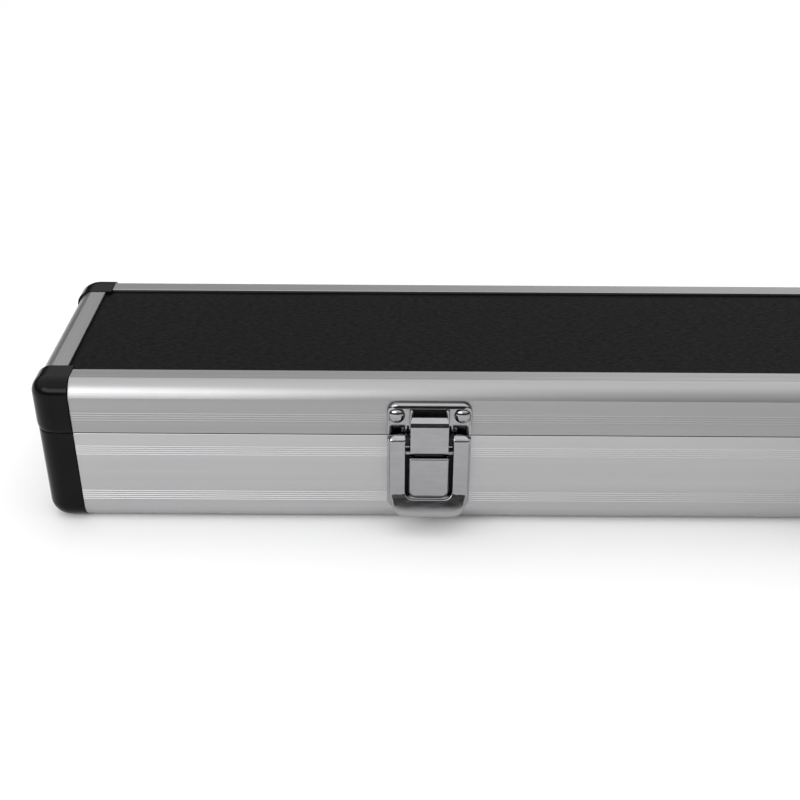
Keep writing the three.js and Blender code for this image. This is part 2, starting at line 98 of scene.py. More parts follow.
def remapped(tree, value, low, high, fromLow=0.3, fromHigh=0.7):
    made = addNode(tree, "ShaderNodeMapRange", {
        "Value": value, "From Min": fromLow, "From Max": fromHigh, "To Min": low, "To Max": high,
    })
    return made.outputs["Result"]


def shaded(tree, value, dark, light):
    # colour between two tones, driven by a value
    made = addNode(tree, "ShaderNodeMix", {"Factor": value}, data_type="RGBA")
    made.inputs["A"].default_value = (*dark, 1)
    made.inputs["B"].default_value = (*light, 1)
    return made.outputs["Result"]


def bumped(tree, height, distance, strength=1.0, over=None):
    made = addNode(tree, "ShaderNodeBump", {"Height": height, "Distance": distance, "Strength": strength})
    if over is not None:
        tree.links.new(over, made.inputs["Normal"])
    return made.outputs["Normal"]


anodised = {"dark": (0.42, 0.42, 0.425), "light": (0.455, 0.455, 0.462), "smooth": 0.35, "rough": 0.42}


def makeAnodised(name, alongX, shadeFactor=1.0):
    # satin aluminium, drawn along the rail, with faint handling marks; its colour is scaled down by a factor,
    # painted shade for the lid's copies
    material, tree, shader = newMaterial(name, {"Metallic": 1.0})
    streak = (5, 1700, 1700) if alongX else (1700, 5, 1700)
    streaks = noiseField(tree, streak, detail=4)
    broad = noiseField(tree, (3, 160, 160) if alongX else (160, 3, 160), detail=2)
    marks = noiseField(tree, (22, 22, 22), detail=5, roughness=0.6)
    shadedTones = [[channel * shadeFactor for channel in anodised[key]] for key in ("dark", "light")]
    tree.links.new(shaded(tree, remapped(tree, broad, 0, 1), *shadedTones), shader.inputs["Base Color"])
    grain = addNode(tree, "ShaderNodeMath", {
        0: remapped(tree, streaks, 0, 0.6), 1: remapped(tree, marks, 0, 0.4),
    }, operation="ADD")
    tree.links.new(remapped(tree, grain.outputs["Value"], anodised["smooth"], anodised["rough"], 0.1, 0.9),
                   shader.inputs["Roughness"])
    tree.links.new(bumped(tree, streaks, 0.01 * mm, 0.06), shader.inputs["Normal"])
    return material


cornerPlastic = {"dark": (0.003, 0.003, 0.0035), "light": (0.005, 0.005, 0.0055),
                 "smooth": 0.13, "rough": 0.22}


def makeCornerPlastic():
    material, tree, shader = newMaterial("cornerPlastic", {"Specular IOR Level": 0.09})
    clouds = noiseField(tree, (60, 60, 60), detail=4)
    pores = noiseField(tree, (1400, 1400, 1400), detail=2)
    tree.links.new(shaded(tree, remapped(tree, clouds, 0, 1), cornerPlastic["dark"], cornerPlastic["light"]),
                   shader.inputs["Base Color"])
    tree.links.new(remapped(tree, clouds, cornerPlastic["smooth"], cornerPlastic["rough"]),
                   shader.inputs["Roughness"])
    tree.links.new(bumped(tree, pores, 0.02 * mm, 0.25), shader.inputs["Normal"])
    return material


leather = {"dark": (0.0035, 0.0035, 0.004), "light": (0.01, 0.01, 0.0105),
           "creaseLong": 330, "creaseShort": 1050}


def makeLeather():
    # pressed grain: wrinkles longer along the case than across it, with fine pores between, and painted shade
    # darkening the wrinkles' low parts
    material, tree, shader = newMaterial("panelLeather", {"Specular IOR Level": 0.05})
    longWay, shortWay = leather["creaseLong"], leather["creaseShort"]
    wrinkles = noiseField(tree, (longWay, shortWay, shortWay), detail=3, distortion=0.6)
    coords = addNode(tree, "ShaderNodeTexCoord")
    spread = addNode(tree, "ShaderNodeMapping", {"Vector": coords.outputs["Object"],
                                                 "Scale": (longWay * 1.3, shortWay * 1.1, shortWay)})
    cells = addNode(tree, "ShaderNodeTexVoronoi", {"Vector": spread.outputs["Vector"], "Scale": 1.0},
                    feature="DISTANCE_TO_EDGE")
    pores = noiseField(tree, (3200, 3200, 3200), detail=2)
    edges = remapped(tree, cells.outputs["Distance"], 0, 1, 0.0, 0.25)
    # painted shade: the colour follows the wrinkles' height, darker in their low parts
    tree.links.new(shaded(tree, remapped(tree, wrinkles, 0, 1), leather["dark"], leather["light"]),
                   shader.inputs["Base Color"])
    tree.links.new(remapped(tree, wrinkles, 0.68, 0.5), shader.inputs["Roughness"])
    first = bumped(tree, edges, 0.07 * mm, 0.5)
    second = bumped(tree, wrinkles, 0.16 * mm, 0.7, first)
    tree.links.new(bumped(tree, pores, 0.02 * mm, 0.3, second), shader.inputs["Normal"])
    return material


# painted shade: a near-black tone for crevices, and the reach within which nearby surfaces darken the plating
chrome = {"dark": (0.29, 0.29, 0.298), "light": (0.33, 0.33, 0.338), "smooth": 0.08, "rough": 0.15,
          "shadeTone": (0.012, 0.012, 0.013), "crevice": 2.6}


def makeChrome(name, smooth, rough):
    # bright plating with a slight wave, wiping marks, hairline scratches and painted shade that darkens it in
    # its crevices
    material, tree, shader = newMaterial(name, {"Metallic": 1.0})
    wiping = noiseField(tree, (130, 130, 420), detail=5, roughness=0.65)
    wave = noiseField(tree, (90, 90, 90), detail=1)
    hairs = noiseField(tree, (60, 3000, 3000), detail=2)
    # painted shade: the plating darkens towards the near-black tone where other surfaces are close by
    occlusion = addNode(tree, "ShaderNodeAmbientOcclusion", {"Distance": chrome["crevice"] * mm}, samples=8)
    unshaded = remapped(tree, occlusion.outputs["AO"], 0, 1, 0.3, 0.72)
    plated = shaded(tree, remapped(tree, wiping, 0, 1), chrome["dark"], chrome["light"])
    shadedTint = addNode(tree, "ShaderNodeMix", {"Factor": unshaded}, data_type="RGBA")
    shadedTint.inputs["A"].default_value = (*chrome["shadeTone"], 1)
    tree.links.new(plated, shadedTint.inputs["B"])
    tree.links.new(shadedTint.outputs["Result"], shader.inputs["Base Color"])
    tree.links.new(remapped(tree, wiping, smooth, rough), shader.inputs["Roughness"])
    first = bumped(tree, wave, 0.05 * mm, 0.3)
    tree.links.new(bumped(tree, hairs, 0.004 * mm, 0.2, first), shader.inputs["Normal"])
    return material


def makePaintedShade():
    # painted shade: near-black metal for the strike's window, the plate behind the latch's lever, the latch's
    # ears and the eye round the hook's pin, where those fall in shade
    material, tree, shader = newMaterial("blackened", {"Metallic": 0.6, "Specular IOR Level": 0.3})
    clouds = noiseField(tree, (300, 300, 300), detail=4)
    tree.links.new(shaded(tree, remapped(tree, clouds, 0, 1), (0.004, 0.004, 0.004), (0.012, 0.012, 0.012)),
                   shader.inputs["Base Color"])
    tree.links.new(remapped(tree, clouds, 0.35, 0.6), shader.inputs["Roughness"])
    return material


def makeFoam():
    # open-cell foam: small pits; painted shade darkens the pits and lightens the cell tops, scaled by a random
    # dusty tone
    material, tree, shader = newMaterial("foam", {"Specular IOR Level": 0.2, "Roughness": 0.95})
    coords = addNode(tree, "ShaderNodeTexCoord")
    cells = addNode(tree, "ShaderNodeTexVoronoi", {"Vector": coords.outputs["Object"], "Scale": 850.0})
    clouds = noiseField(tree, (35, 35, 35), detail=4)
    pits = remapped(tree, cells.outputs["Distance"], 1, 0, 0.1, 0.7)
    dust = remapped(tree, clouds, 0.4, 1)
    shadeAndDust = addNode(tree, "ShaderNodeMath", {0: pits, 1: dust}, operation="MULTIPLY")
    # painted shade: the colour follows the pits' height, darker in them and lighter on the tops
    tree.links.new(shaded(tree, shadeAndDust.outputs["Value"], (0.012, 0.012, 0.013), (0.055, 0.055, 0.058)),
                   shader.inputs["Base Color"])
    tree.links.new(bumped(tree, pits, 0.25 * mm, 0.8), shader.inputs["Normal"])
    return material


def makeGripRubber():
    material, tree, shader = newMaterial("gripRubber", {"Specular IOR Level": 0.4})
    spark = noiseField(tree, (2400, 2400, 2400), detail=2)
    worn = noiseField(tree, (45, 45, 45), detail=4)
    tree.links.new(shaded(tree, remapped(tree, worn, 0, 1), (0.010, 0.010, 0.011), (0.02, 0.02, 0.021)),
                   shader.inputs["Base Color"])
    tree.links.new(remapped(tree, worn, 0.42, 0.62), shader.inputs["Roughness"])
    tree.links.new(bumped(tree, spark, 0.05 * mm, 0.5), shader.inputs["Normal"])
    return material


finishes = {
    "baseLong": makeAnodised("anodisedBaseLong", True),
    "baseShort": makeAnodised("anodisedBaseShort", False),
    # painted shade: the lid's copies are darker than the base's, as the lid's faces reflect less light
    "lidLong": makeAnodised("anodisedLidLong", True, 0.73),
    "lidShort": makeAnodised("anodisedLidShort", False, 0.78),
    "plastic": makeCornerPlastic(),
    "leather": makeLeather(),
    "chrome": makeChrome("chrome", chrome["smooth"], chrome["rough"]),
    "satin": makeChrome("satin", 0.15, 0.25),
    "nickel": makeChrome("nickel", 0.16, 0.28),
    # painted shade, for parts that fall in shade
    "blackened": makePaintedShade(),
    "foam": makeFoam(),
    "grip": makeGripRubber(),
}
print("materials made:", len(finishes))


# making and finishing pieces

def objectFrom(name, shape):
    # a new object from a bmesh, with doubles merged
    bmesh.ops.remove_doubles(shape, verts=shape.verts, dist=0.001 * mm)
    mesh = bpy.data.meshes.new(name)
    shape.to_mesh(mesh)
    shape.free()
    piece = bpy.data.objects.new(name, mesh)
    bpy.context.scene.collection.objects.link(piece)
    return piece


def plain(piece):
    # the piece with its modifiers applied, as a plain mesh
    bpy.context.view_layer.update()
    depsgraph = bpy.context.evaluated_depsgraph_get()
    mesh = bpy.data.meshes.new_from_object(piece.evaluated_get(depsgraph), depsgraph=depsgraph)
    name = piece.name
    bpy.data.objects.remove(piece)
    mesh.name = name
    made = bpy.data.objects.new(name, mesh)
    bpy.context.scene.collection.objects.link(made)
    return made


def outward(piece):
    # closed shapes only: faces turned to point out
    shape = bmesh.new()
    shape.from_mesh(piece.data)
    bmesh.ops.remove_doubles(shape, verts=shape.verts, dist=0.001 * mm)
    bmesh.ops.recalc_face_normals(shape, faces=shape.faces)
    shape.to_mesh(piece.data)
    shape.free()
    return piece


def softened(piece, width, segments=2, limit=40):
    bevel = piece.modifiers.new("softEdges", "BEVEL")
    bevel.width = width
    bevel.segments = segments
    bevel.limit_method = "ANGLE"
    bevel.angle_limit = math.radians(limit)
    bevel.harden_normals = False
    return plain(piece)


def walled(piece, thickness):
    wall = piece.modifiers.new("wall", "SOLIDIFY")
    wall.thickness = thickness
    wall.offset = -1
    wall.use_even_offset = True
    return plain(piece)


def finished(piece, body, finish, nodes, smoothAngle=32):
    piece.data.shade_smooth()
    piece.data.set_sharp_from_angle(angle=math.radians(smoothAngle))
    if finish not in ("foam", "grip", "leather"):
        # broad flat faces stay flat beside their rounded edges
        weighted = piece.modifiers.new("flatFaces", "WEIGHTED_NORMAL")
        weighted.keep_sharp = True
        piece = plain(piece)
    piece.data.materials.clear()
    piece.data.materials.append(finishes[finish])
    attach(piece, body)
    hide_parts(*nodes)
    return piece


# places on the outside of the case: x along it, proud off the wall, z up

def onFront(x, proud, z):
    return Vector((x, case["front"] - proud, z))


def onRear(x, proud, z):
    return Vector((x, case["rear"] + proud, z))


# geometry nodes: one tree for each kind of repeated or swept shape

def newTree(name, inputs):
    tree = bpy.data.node_groups.new(name, "GeometryNodeTree")
    tree.interface.new_socket("Geometry", in_out="INPUT", socket_type="NodeSocketGeometry")
    for label, kind in inputs.items():
        tree.interface.new_socket(label, in_out="INPUT", socket_type=kind)
    tree.interface.new_socket("Geometry", in_out="OUTPUT", socket_type="NodeSocketGeometry")
    return tree, tree.nodes.new("NodeGroupInput"), tree.nodes.new("NodeGroupOutput")


def endTree(tree, source, result, geometry):
    solid = addNode(tree, "GeometryNodeRealizeInstances", {"Geometry": geometry})
    painted = addNode(tree, "GeometryNodeSetMaterial", {
        "Geometry": solid.outputs["Geometry"], "Material": source.outputs["Finish"],
    })
    tree.links.new(painted.outputs["Geometry"], result.inputs["Geometry"])
    return tree


def grown(piece, tree, values):
    modifier = piece.modifiers.new("grow", "NODES")
    modifier.node_group = tree
    sockets = {item.name: item.identifier for item in tree.interface.items_tree if item.in_out == "INPUT"}
    for label, value in values.items():
        modifier[sockets[label]] = value
    return plain(piece)


def closedRun(tree, geometry, offset):
    # a flat outline pushed along an offset, with its first face kept as the other end
    pushed = addNode(tree, "GeometryNodeExtrudeMesh", {
        "Mesh": geometry, "Offset": offset, "Individual": False,
    })
    turned = addNode(tree, "GeometryNodeFlipFaces", {"Mesh": geometry})
    both = addNode(tree, "GeometryNodeJoinGeometry")
    tree.links.new(turned.outputs["Mesh"], both.inputs["Geometry"])
    tree.links.new(pushed.outputs["Mesh"], both.inputs["Geometry"])
    merged = addNode(tree, "GeometryNodeMergeByDistance", {"Geometry": both.outputs["Geometry"],
                                                           "Distance": 0.001 * mm})
    return merged.outputs["Geometry"]


def makeSectionRun():
    tree, source, result = newTree("sectionRun", {"Run": "NodeSocketVector", "Finish": "NodeSocketMaterial"})
    bar = closedRun(tree, source.outputs["Geometry"], source.outputs["Run"])
    return endTree(tree, source, result, bar)


def makeScattered():
    # one small template set on every point
    tree, source, result = newTree("rivetSet", {
        "Head": "NodeSocketObject", "Turn": "NodeSocketRotation", "Finish": "NodeSocketMaterial",
    })
    head = addNode(tree, "GeometryNodeObjectInfo", {"Object": source.outputs["Head"]})
    spread = addNode(tree, "GeometryNodeInstanceOnPoints", {
        "Points": source.outputs["Geometry"], "Instance": head.outputs["Geometry"],
        "Rotation": source.outputs["Turn"],
    })
    return endTree(tree, source, result, spread.outputs["Instances"])


def makeEggCrate():
    # a foam pad: a grid given its thickness, its lower side raised and lowered in even bumps
    tree, source, result = newTree("eggCrate", {
        "Length": "NodeSocketFloat", "Width": "NodeSocketFloat", "Depth": "NodeSocketFloat",
        "Bump Height": "NodeSocketFloat", "Bump Pitch": "NodeSocketFloat", "Step": "NodeSocketFloat",
        "Finish": "NodeSocketMaterial",
    })

    def math2(kind, a, b):
        return addNode(tree, "ShaderNodeMath", {0: a, 1: b}, operation=kind).outputs["Value"]

    grid = addNode(tree, "GeometryNodeMeshGrid", {
        "Size X": source.outputs["Length"], "Size Y": source.outputs["Width"],
        "Vertices X": math2("DIVIDE", source.outputs["Length"], source.outputs["Step"]),
        "Vertices Y": math2("DIVIDE", source.outputs["Width"], source.outputs["Step"]),
    })
    down = addNode(tree, "ShaderNodeCombineXYZ", {"Z": math2("MULTIPLY", source.outputs["Depth"], -1.0)})
    slab = closedRun(tree, grid.outputs["Mesh"], down.outputs["Vector"])
    position = addNode(tree, "GeometryNodeInputPosition")
    where = addNode(tree, "ShaderNodeSeparateXYZ", {"Vector": position.outputs["Position"]})
    waves = []
    for axis in ("X", "Y"):
        turns = math2("DIVIDE", where.outputs[axis], source.outputs["Bump Pitch"])
        angle = math2("MULTIPLY", turns, 2 * math.pi)
        waves.append(addNode(tree, "ShaderNodeMath", {0: angle}, operation="COSINE").outputs["Value"])
    share = math2("ADD", math2("MULTIPLY", waves[0], waves[1]), 1.0)
    dip = math2("MULTIPLY", share, source.outputs["Bump Height"])
    lift = addNode(tree, "ShaderNodeCombineXYZ", {"Z": math2("MULTIPLY", dip, 0.5)})
    lower = math2("LESS_THAN", where.outputs["Z"], -0.5 * mm)
    shaped = addNode(tree, "GeometryNodeSetPosition", {"Geometry": slab, "Selection": lower,
                                                       "Offset": lift.outputs["Vector"]})
    return endTree(tree, source, result, shaped.outputs["Geometry"])


sectionRun = makeSectionRun()
rivetSet = makeScattered()
eggCrate = makeEggCrate()


# rails: one drawn section with its ribs, run along each side

rail = {
    "wall": 1.5, "chamfer": 0.2, "arcSteps": 14, "baseEdge": 9.4, "lidEdge": 7.6,
    "ribHalf": 0.36, "ribHeight": 0.19, "lipRibHeight": 0.04,
    "noseStart": 80, "noseSplit": 36, "noseEnd": 24, "noseTight": 1.097,
    "baseRibs": [(13.4, 1.2, 5), (39.4, 1.15, 5)],  # first height, pitch, count
    "lidRibs": [(15.6, 1.27, 4)],
    "lipRibs": (5.0, 1.15, 3),  # from the lip's inner edge
    "grooveLow": 5.1, "grooveHigh": 6.3, "grooveReach": 12.0, "tongue": 2.5,
}


def ridge(centre, towards, tall):
    # four points over one rib, as (along, height) pairs
    half = rail["ribHalf"]
    spots = [(-half, 0), (-0.48 * half, tall), (0.48 * half, tall), (half, 0)]
    return [(centre + towards * along, up) for along, up in spots]


def roundedEdge(radius, size, first, last):
    # points of the rounded edge, from one angle to another: 0 is on the wall, 90 on the lip
    points = []
    for i in range(rail["arcSteps"] + 1):
        angle = math.radians(first + (last - first) * i / rail["arcSteps"])
        points.append((radius - size * math.cos(angle), radius - size * math.sin(angle)))
    return points


def nose(depth):
    # the lid's outer edge: a faint crease off the lip, a round, then a slow curve down to a crease on the face
    begin, split, end = [math.radians(rail[key]) for key in ("noseStart", "noseSplit", "noseEnd")]
    tight = rail["noseTight"] * depth
    slow = (depth - tight * (math.cos(split) - math.cos(begin))) / (math.cos(end) - math.cos(split))
    points = []
    inward, down = depth, 0.0
    for size, start, stop in ((tight, begin, split), (slow, split, end)):
        for i in range(rail["arcSteps"] // 2 + 1):
            angle = start + (stop - start) * i / (rail["arcSteps"] // 2)
            points.append((inward - size * (math.cos(angle) - math.cos(start)),
                           down + size * (math.sin(start) - math.sin(angle))))
        inward, down = points[-1]
    return points


def railSection(edge, wallHeight, faceRibs, tongue):
    # (distance in from the outer face, height over the lip's face), in millimetres
    wall, chamfer, lip = rail["wall"], rail["chamfer"], case["lip"] / mm
    first, pitch, count = rail["lipRibs"]
    points = [(lip, wall - 0.2), (lip, chamfer), (lip - chamfer, 0)]
    for i in range(count):
        points += [(along, -up) for along, up in ridge(lip - first - i * pitch, -1, rail["lipRibHeight"])]
    points += roundedEdge(edge, edge, 90, 0) if tongue else nose(edge)
    for start, step, number in faceRibs:
        for i in range(number):
            points += [(-up, along) for along, up in ridge(start + i * step, 1, rail["ribHeight"])]
    points += [(0, wallHeight - chamfer), (chamfer, wallHeight)]
    if tongue:
        inner, outer, rise = wall + 2.2, wall + 1, rail["tongue"]
        points += [(outer, wallHeight), (outer, wallHeight + rise), (inner, wallHeight + rise),
                   (inner, wallHeight - 4), (wall, wallHeight - 5.5)]
    else:
        points += [(wall - chamfer, wallHeight), (wall, wallHeight - chamfer)]
    size = edge - wall
    angleAt = lambda height: math.degrees(math.asin(max(edge - height, 0) / size))
    points += [(wall, edge)] + roundedEdge(edge, size, 0, angleAt(rail["grooveHigh"]))[1:]
    points += [(rail["grooveReach"], rail["grooveHigh"]), (rail["grooveReach"], rail["grooveLow"])]
    points += roundedEdge(edge, size, angleAt(rail["grooveLow"]), 90)
    return points


def railPlace(side, level):
    # maps (inward, height) in millimetres to a place in the section's plane
    def spot(inward, height):
        z = height * mm if level == "base" else case["top"] - height * mm
        node = f"{level}_rail_{side}"
        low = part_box(node)[0]
        if side == "front":
            return Vector((low.x, case["front"] + inward * mm, z))
        if side == "rear":
            return Vector((low.x, case["rear"] - inward * mm, z))
        if side == "left":
            return Vector((case["left"] + inward * mm, low.y, z))
        return Vector((case["right"] - inward * mm, low.y, z))
    return spot


def makeRail(side, level):
    node = f"{level}_rail_{side}"
    low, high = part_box(node)
    if level == "base":
        section = railSection(rail["baseEdge"], case["baseTop"] / mm, rail["baseRibs"], True)
    else:
        section = railSection(rail["lidEdge"], (case["top"] - case["lidLow"]) / mm, rail["lidRibs"], False)
    spot = railPlace(side, level)
    shape = bmesh.new()
    shape.faces.new([shape.verts.new(spot(inward, height)) for inward, height in section])
    outline = objectFrom(f"{level}Rail{side.capitalize()}", shape)
    longWay = side in ("front", "rear")
    run = Vector((high.x - low.x, 0, 0)) if longWay else Vector((0, high.y - low.y, 0))
    finish = level + ("Long" if longWay else "Short")
    bar = outward(grown(outline, sectionRun, {"Run": run, "Finish": finishes[finish]}))
    return finished(bar, level, finish, [node], 20)


for level in ("base", "lid"):
    for side in ("front", "rear", "left", "right"):
        makeRail(side, level)
print("rails run")


# corner caps: a rounded skin round the corner, given a wall

cap = {
    "round": 9.6, "leg": 18.0, "wall": 1.5, "arcSteps": 12, "edgeSteps": 10,
    "baseProud": 0.3, "lidProud": 0.75, "rimRound": 1.6, "soft": 0.3,
    "lapReach": 12.0, "lapGap": 0.3, "lapWall": 1.2,
}


def capSection(edge, wallHeight, proud, rimRound):
    # (distance out from the corner's axis, height over the lip), from the lip to the seam
    points = [(0.0, -0.3), ((cap["round"] - edge) * 0.5, -0.3)]
    for i in range(cap["edgeSteps"] + 1):
        angle = math.radians(90 - 90 * i / cap["edgeSteps"])
        reach = cap["round"] - edge + (edge + proud) * math.cos(angle)
        points.append((reach, edge - (edge + 0.3) * math.sin(angle)))
    outer = cap["round"] + proud
    middle = (edge + wallHeight) / 2
    points += [(outer, middle), (outer, wallHeight - 2.2 * rimRound)]
    for i in range(1, 6):
        angle = math.radians(90 * i / 5)
        points.append((outer - (rimRound * 0.45) * (1 - math.cos(angle)),
                       wallHeight - 2.2 * rimRound * (1 - math.sin(angle))))
    return points


def capStations():
    # (axis point, outward direction) along the first leg, round the corner and along the second leg
    radius, leg = cap["round"], cap["leg"]
    stations = [((leg - (leg - radius) * i / 3, radius), (0.0, -1.0)) for i in range(3)]
    for i in range(cap["arcSteps"] + 1):
        angle = math.radians(270 - 90 * i / cap["arcSteps"])
        stations.append(((radius, radius), (math.cos(angle), math.sin(angle))))
    stations += [((radius, radius + (leg - radius) * i / 3), (-1.0, 0.0)) for i in range(1, 4)]
    return stations


def cornerPlace(where, level):
    flipX = -1 if "right" in where else 1
    flipY = -1 if "rear" in where else 1
    startX = case["right"] if "right" in where else case["left"]
    startY = case["rear"] if "rear" in where else case["front"]

    def spot(x, y, height):
        z = height * mm if level == "base" else case["top"] - height * mm
        return Vector((startX + flipX * x * mm, startY + flipY * y * mm, z))
    return spot


def addBar(shape, spot, low, high):
    corners = [spot(x, y, z) for z in (low[2], high[2]) for y in (low[1], high[1]) for x in (low[0], high[0])]
    verts = [shape.verts.new(corner) for corner in corners]
    for face in ((0, 1, 3, 2), (4, 6, 7, 5), (0, 4, 5, 1), (2, 3, 7, 6), (0, 2, 6, 4), (1, 5, 7, 3)):
        shape.faces.new([verts[i] for i in face])


def makeCap(where, level):
    node = f"{level}_corner_{where}"
    spot = cornerPlace(where, level)
    isBase = level == "base"
    edge = rail["baseEdge"] if isBase else rail["lidEdge"]
    wallHeight = case["baseTop"] / mm if isBase else (case["top"] - case["lidLow"]) / mm
    proud = cap["baseProud"] if isBase else cap["lidProud"]
    section = capSection(edge, wallHeight, proud, cap["rimRound"] * (0.35 if isBase else 1))
    shape = bmesh.new()
    rows = []
    for (ax, ay), (dx, dy) in capStations():
        rows.append([shape.verts.new(spot(ax + dx * reach, ay + dy * reach, up)) for reach, up in section])
    for one, two in zip(rows, rows[1:]):
        for i in range(len(section) - 1):
            quad = [one[i], one[i + 1], two[i + 1], two[i]]
            if (quad[0].co - quad[3].co).length < 0.001 * mm:
                quad = quad[:3]
            shape.faces.new(quad)
    # the flat square that covers the panel's corner
    radius, leg = cap["round"], cap["leg"]
    ticks = [radius + (leg - radius) * i / 3 for i in range(4)]
    grid = [[shape.verts.new(spot(x, y, -0.3)) for x in ticks] for y in ticks]
    for j in range(3):
        for i in range(3):
            shape.faces.new([grid[j][i], grid[j][i + 1], grid[j + 1][i + 1], grid[j + 1][i]])
    bmesh.ops.remove_doubles(shape, verts=shape.verts, dist=0.001 * mm)
    bmesh.ops.recalc_face_normals(shape, faces=shape.faces)
    shape.normal_update()
    flat = min(shape.faces, key=lambda face: abs(face.calc_center_median().z - spot(leg, leg, 0).z))
    if flat.normal.z * (-1 if isBase else 1) < 0:
        bmesh.ops.reverse_faces(shape, faces=shape.faces)
    piece = walled(objectFrom(f"{level}Corner{where.title().replace('_', '')}", shape), cap["wall"] * mm)
    # the lap behind each rail
    shape = bmesh.new()
    shape.from_mesh(piece.data)
    inner = cap["wall"] + cap["lapGap"]
    outer = inner + cap["lapWall"]
    low, high = (8.0, 45.0) if isBase else (8.0, 23.0)
    addBar(shape, spot, (leg - 5, cap["wall"] - 0.4, low), (leg - 0.2, outer, high))
    addBar(shape, spot, (leg - 0.3, inner, low), (leg + cap["lapReach"], outer, high))
    addBar(shape, spot, (cap["wall"] - 0.4, leg - 5, low), (outer, leg - 0.2, high))
    addBar(shape, spot, (inner, leg - 0.3, low), (outer, leg + cap["lapReach"], high))
    shape.to_mesh(piece.data)
    shape.free()
    return finished(outward(softened(piece, cap["soft"] * mm, 3, 50)), level, "plastic", [node], 40)


for level in ("base", "lid"):
    for where in ("front_left", "front_right", "rear_right", "rear_left"):
        makeCap(where, level)
print("corner caps made")


# panels: a board wrapped in leather-grain skin, very slightly uneven

panel = {"step": 6.0, "swell": 0.12, "edge": 0.5}


def makePanel(level):
    node = f"{level}_panel"
    low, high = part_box(node)
    outerZ = low.z if level == "base" else high.z
    innerZ = high.z if level == "base" else low.z
    towards = -1 if level == "base" else 1
    countX = int((high.x - low.x) / (panel["step"] * mm))
    countY = int((high.y - low.y) / (panel["step"] * mm))
    shape = bmesh.new()
    layers = []
    for z, lively in ((outerZ, True), (innerZ, False)):
        rows = []
        for j in range(countY + 1):
            row = []
            for i in range(countX + 1):
                x = low.x + (high.x - low.x) * i / countX
                y = low.y + (high.y - low.y) * j / countY
                inside = 0 < i < countX and 0 < j < countY
                wave = math.sin(31 * x + 4 * math.sin(53 * y)) * math.sin(47 * y + 2 * math.sin(19 * x))
                lift = towards * panel["swell"] * mm * wave if lively and inside else 0
                row.append(shape.verts.new((x, y, z + lift)))
            rows.append(row)
        layers.append(rows)
        for j in range(countY):
            for i in range(countX):
                shape.faces.new([rows[j][i], rows[j][i + 1], rows[j + 1][i + 1], rows[j + 1][i]])
    outer, inner = layers
    for i in range(countX):
        shape.faces.new([outer[0][i], outer[0][i + 1], inner[0][i + 1], inner[0][i]])
        shape.faces.new([outer[-1][i], outer[-1][i + 1], inner[-1][i + 1], inner[-1][i]])
    for j in range(countY):
        shape.faces.new([outer[j][0], outer[j + 1][0], inner[j + 1][0], inner[j][0]])
        shape.faces.new([outer[j][-1], outer[j + 1][-1], inner[j + 1][-1], inner[j][-1]])
    board = outward(objectFrom(f"{level}Panel", shape))
    return finished(board, level, "leather", [node], 40)


for level in ("base", "lid"):
    makePanel(level)
print("panels made")


def bridge(shape, rings):
    # faces between rings; a ring of one vertex is a pole
    for one, two in zip(rings, rings[1:]):
        count = max(len(one), len(two))
        for i in range(count):
            j = (i + 1) % count
            if len(one) == 1 and len(two) == 1:
                continue
            if len(one) == 1:
                shape.faces.new([one[0], two[i], two[j]])
            elif len(two) == 1:
                shape.faces.new([one[i], one[j], two[0]])
            else:
                shape.faces.new([one[i], one[j], two[j], two[i]])


# stamped sheet: rings of a rounded rectangle, each inset and raised by the profile

def roundedLoop(low, high, radii, steps=7):
    spots = [
        (low[0] + radii[0], low[1] + radii[0], radii[0], 180),
        (high[0] - radii[1], low[1] + radii[1], radii[1], 270),
        (high[0] - radii[2], high[1] - radii[2], radii[2], 0),
        (low[0] + radii[3], high[1] - radii[3], radii[3], 90),
    ]
    points = []
    for x, z, radius, start in spots:
        for i in range(steps + 1):
            angle = math.radians(start + 90 * i / steps)
            points.append((x + radius * math.cos(angle), z + radius * math.sin(angle)))
    return points


def addStamping(shape, spot, centreX, low, high, radii, profile):
    # low and high are (x, z) about centreX; profile is (inset, proud) pairs from the back to the front
    rings = []
    for inset, proud in profile:
        inner = [max(radius - inset, 0.12) for radius in radii]
        loop = roundedLoop((low[0] + inset, low[1] + inset), (high[0] - inset, high[1] - inset), inner)
        rings.append([shape.verts.new(spot(centreX + x * mm, proud * mm, z * mm)) for x, z in loop])
    bridge(shape, rings)
    shape.faces.new(rings[0])
    shape.faces.new(rings[-1])


plateEdge = [(0.0, 0.3), (0.0, 1.1), (0.12, 1.38), (0.4, 1.5)]  # (inset, proud) of a stamped plate


def softProfile(back, front, radius, steps=4):
    # straight sides and a rounded front edge
    points = [(0.0, back)]
    for i in range(steps + 1):
        angle = math.radians(90 * i / steps)
        points.append((radius * (1 - math.cos(angle)), front - radius * (1 - math.sin(angle))))
    return points


def addLathe(shape, spot, profile, segments=28):
    # profile is (radius, along) from the axis to the axis; spot maps (a, b, along) to a place
    rings = []
    for radius, along in profile:
        if radius < 1e-6:
            rings.append([shape.verts.new(spot(0, 0, along))])
            continue
        angles = [2 * math.pi * i / segments for i in range(segments)]
        rings.append([shape.verts.new(spot(radius * math.cos(a), radius * math.sin(a), along)) for a in angles])
    bridge(shape, rings)


def addStrip(shape, spot, outline, low, high):
    # a closed outline in (proud, z), run along x from low to high, all in millimetres
    ends = [[shape.verts.new(spot(x * mm, proud * mm, z * mm)) for proud, z in outline] for x in (low, high)]
    bridge(shape, ends)
    shape.faces.new(ends[0])
    shape.faces.new(ends[1])


def arcRun(centre, radius, first, last, steps):
    # points on an arc, angles in degrees, 0 pointing off the wall and 90 up
    spots = []
    for i in range(steps + 1):
        angle = math.radians(first + (last - first) * i / steps)
        spots.append((centre[0] + radius * math.cos(angle), centre[1] + radius * math.sin(angle)))
    return spots


def about(centreX):
    return lambda x, proud, z: onFront(centreX + x, proud, z)


# latches

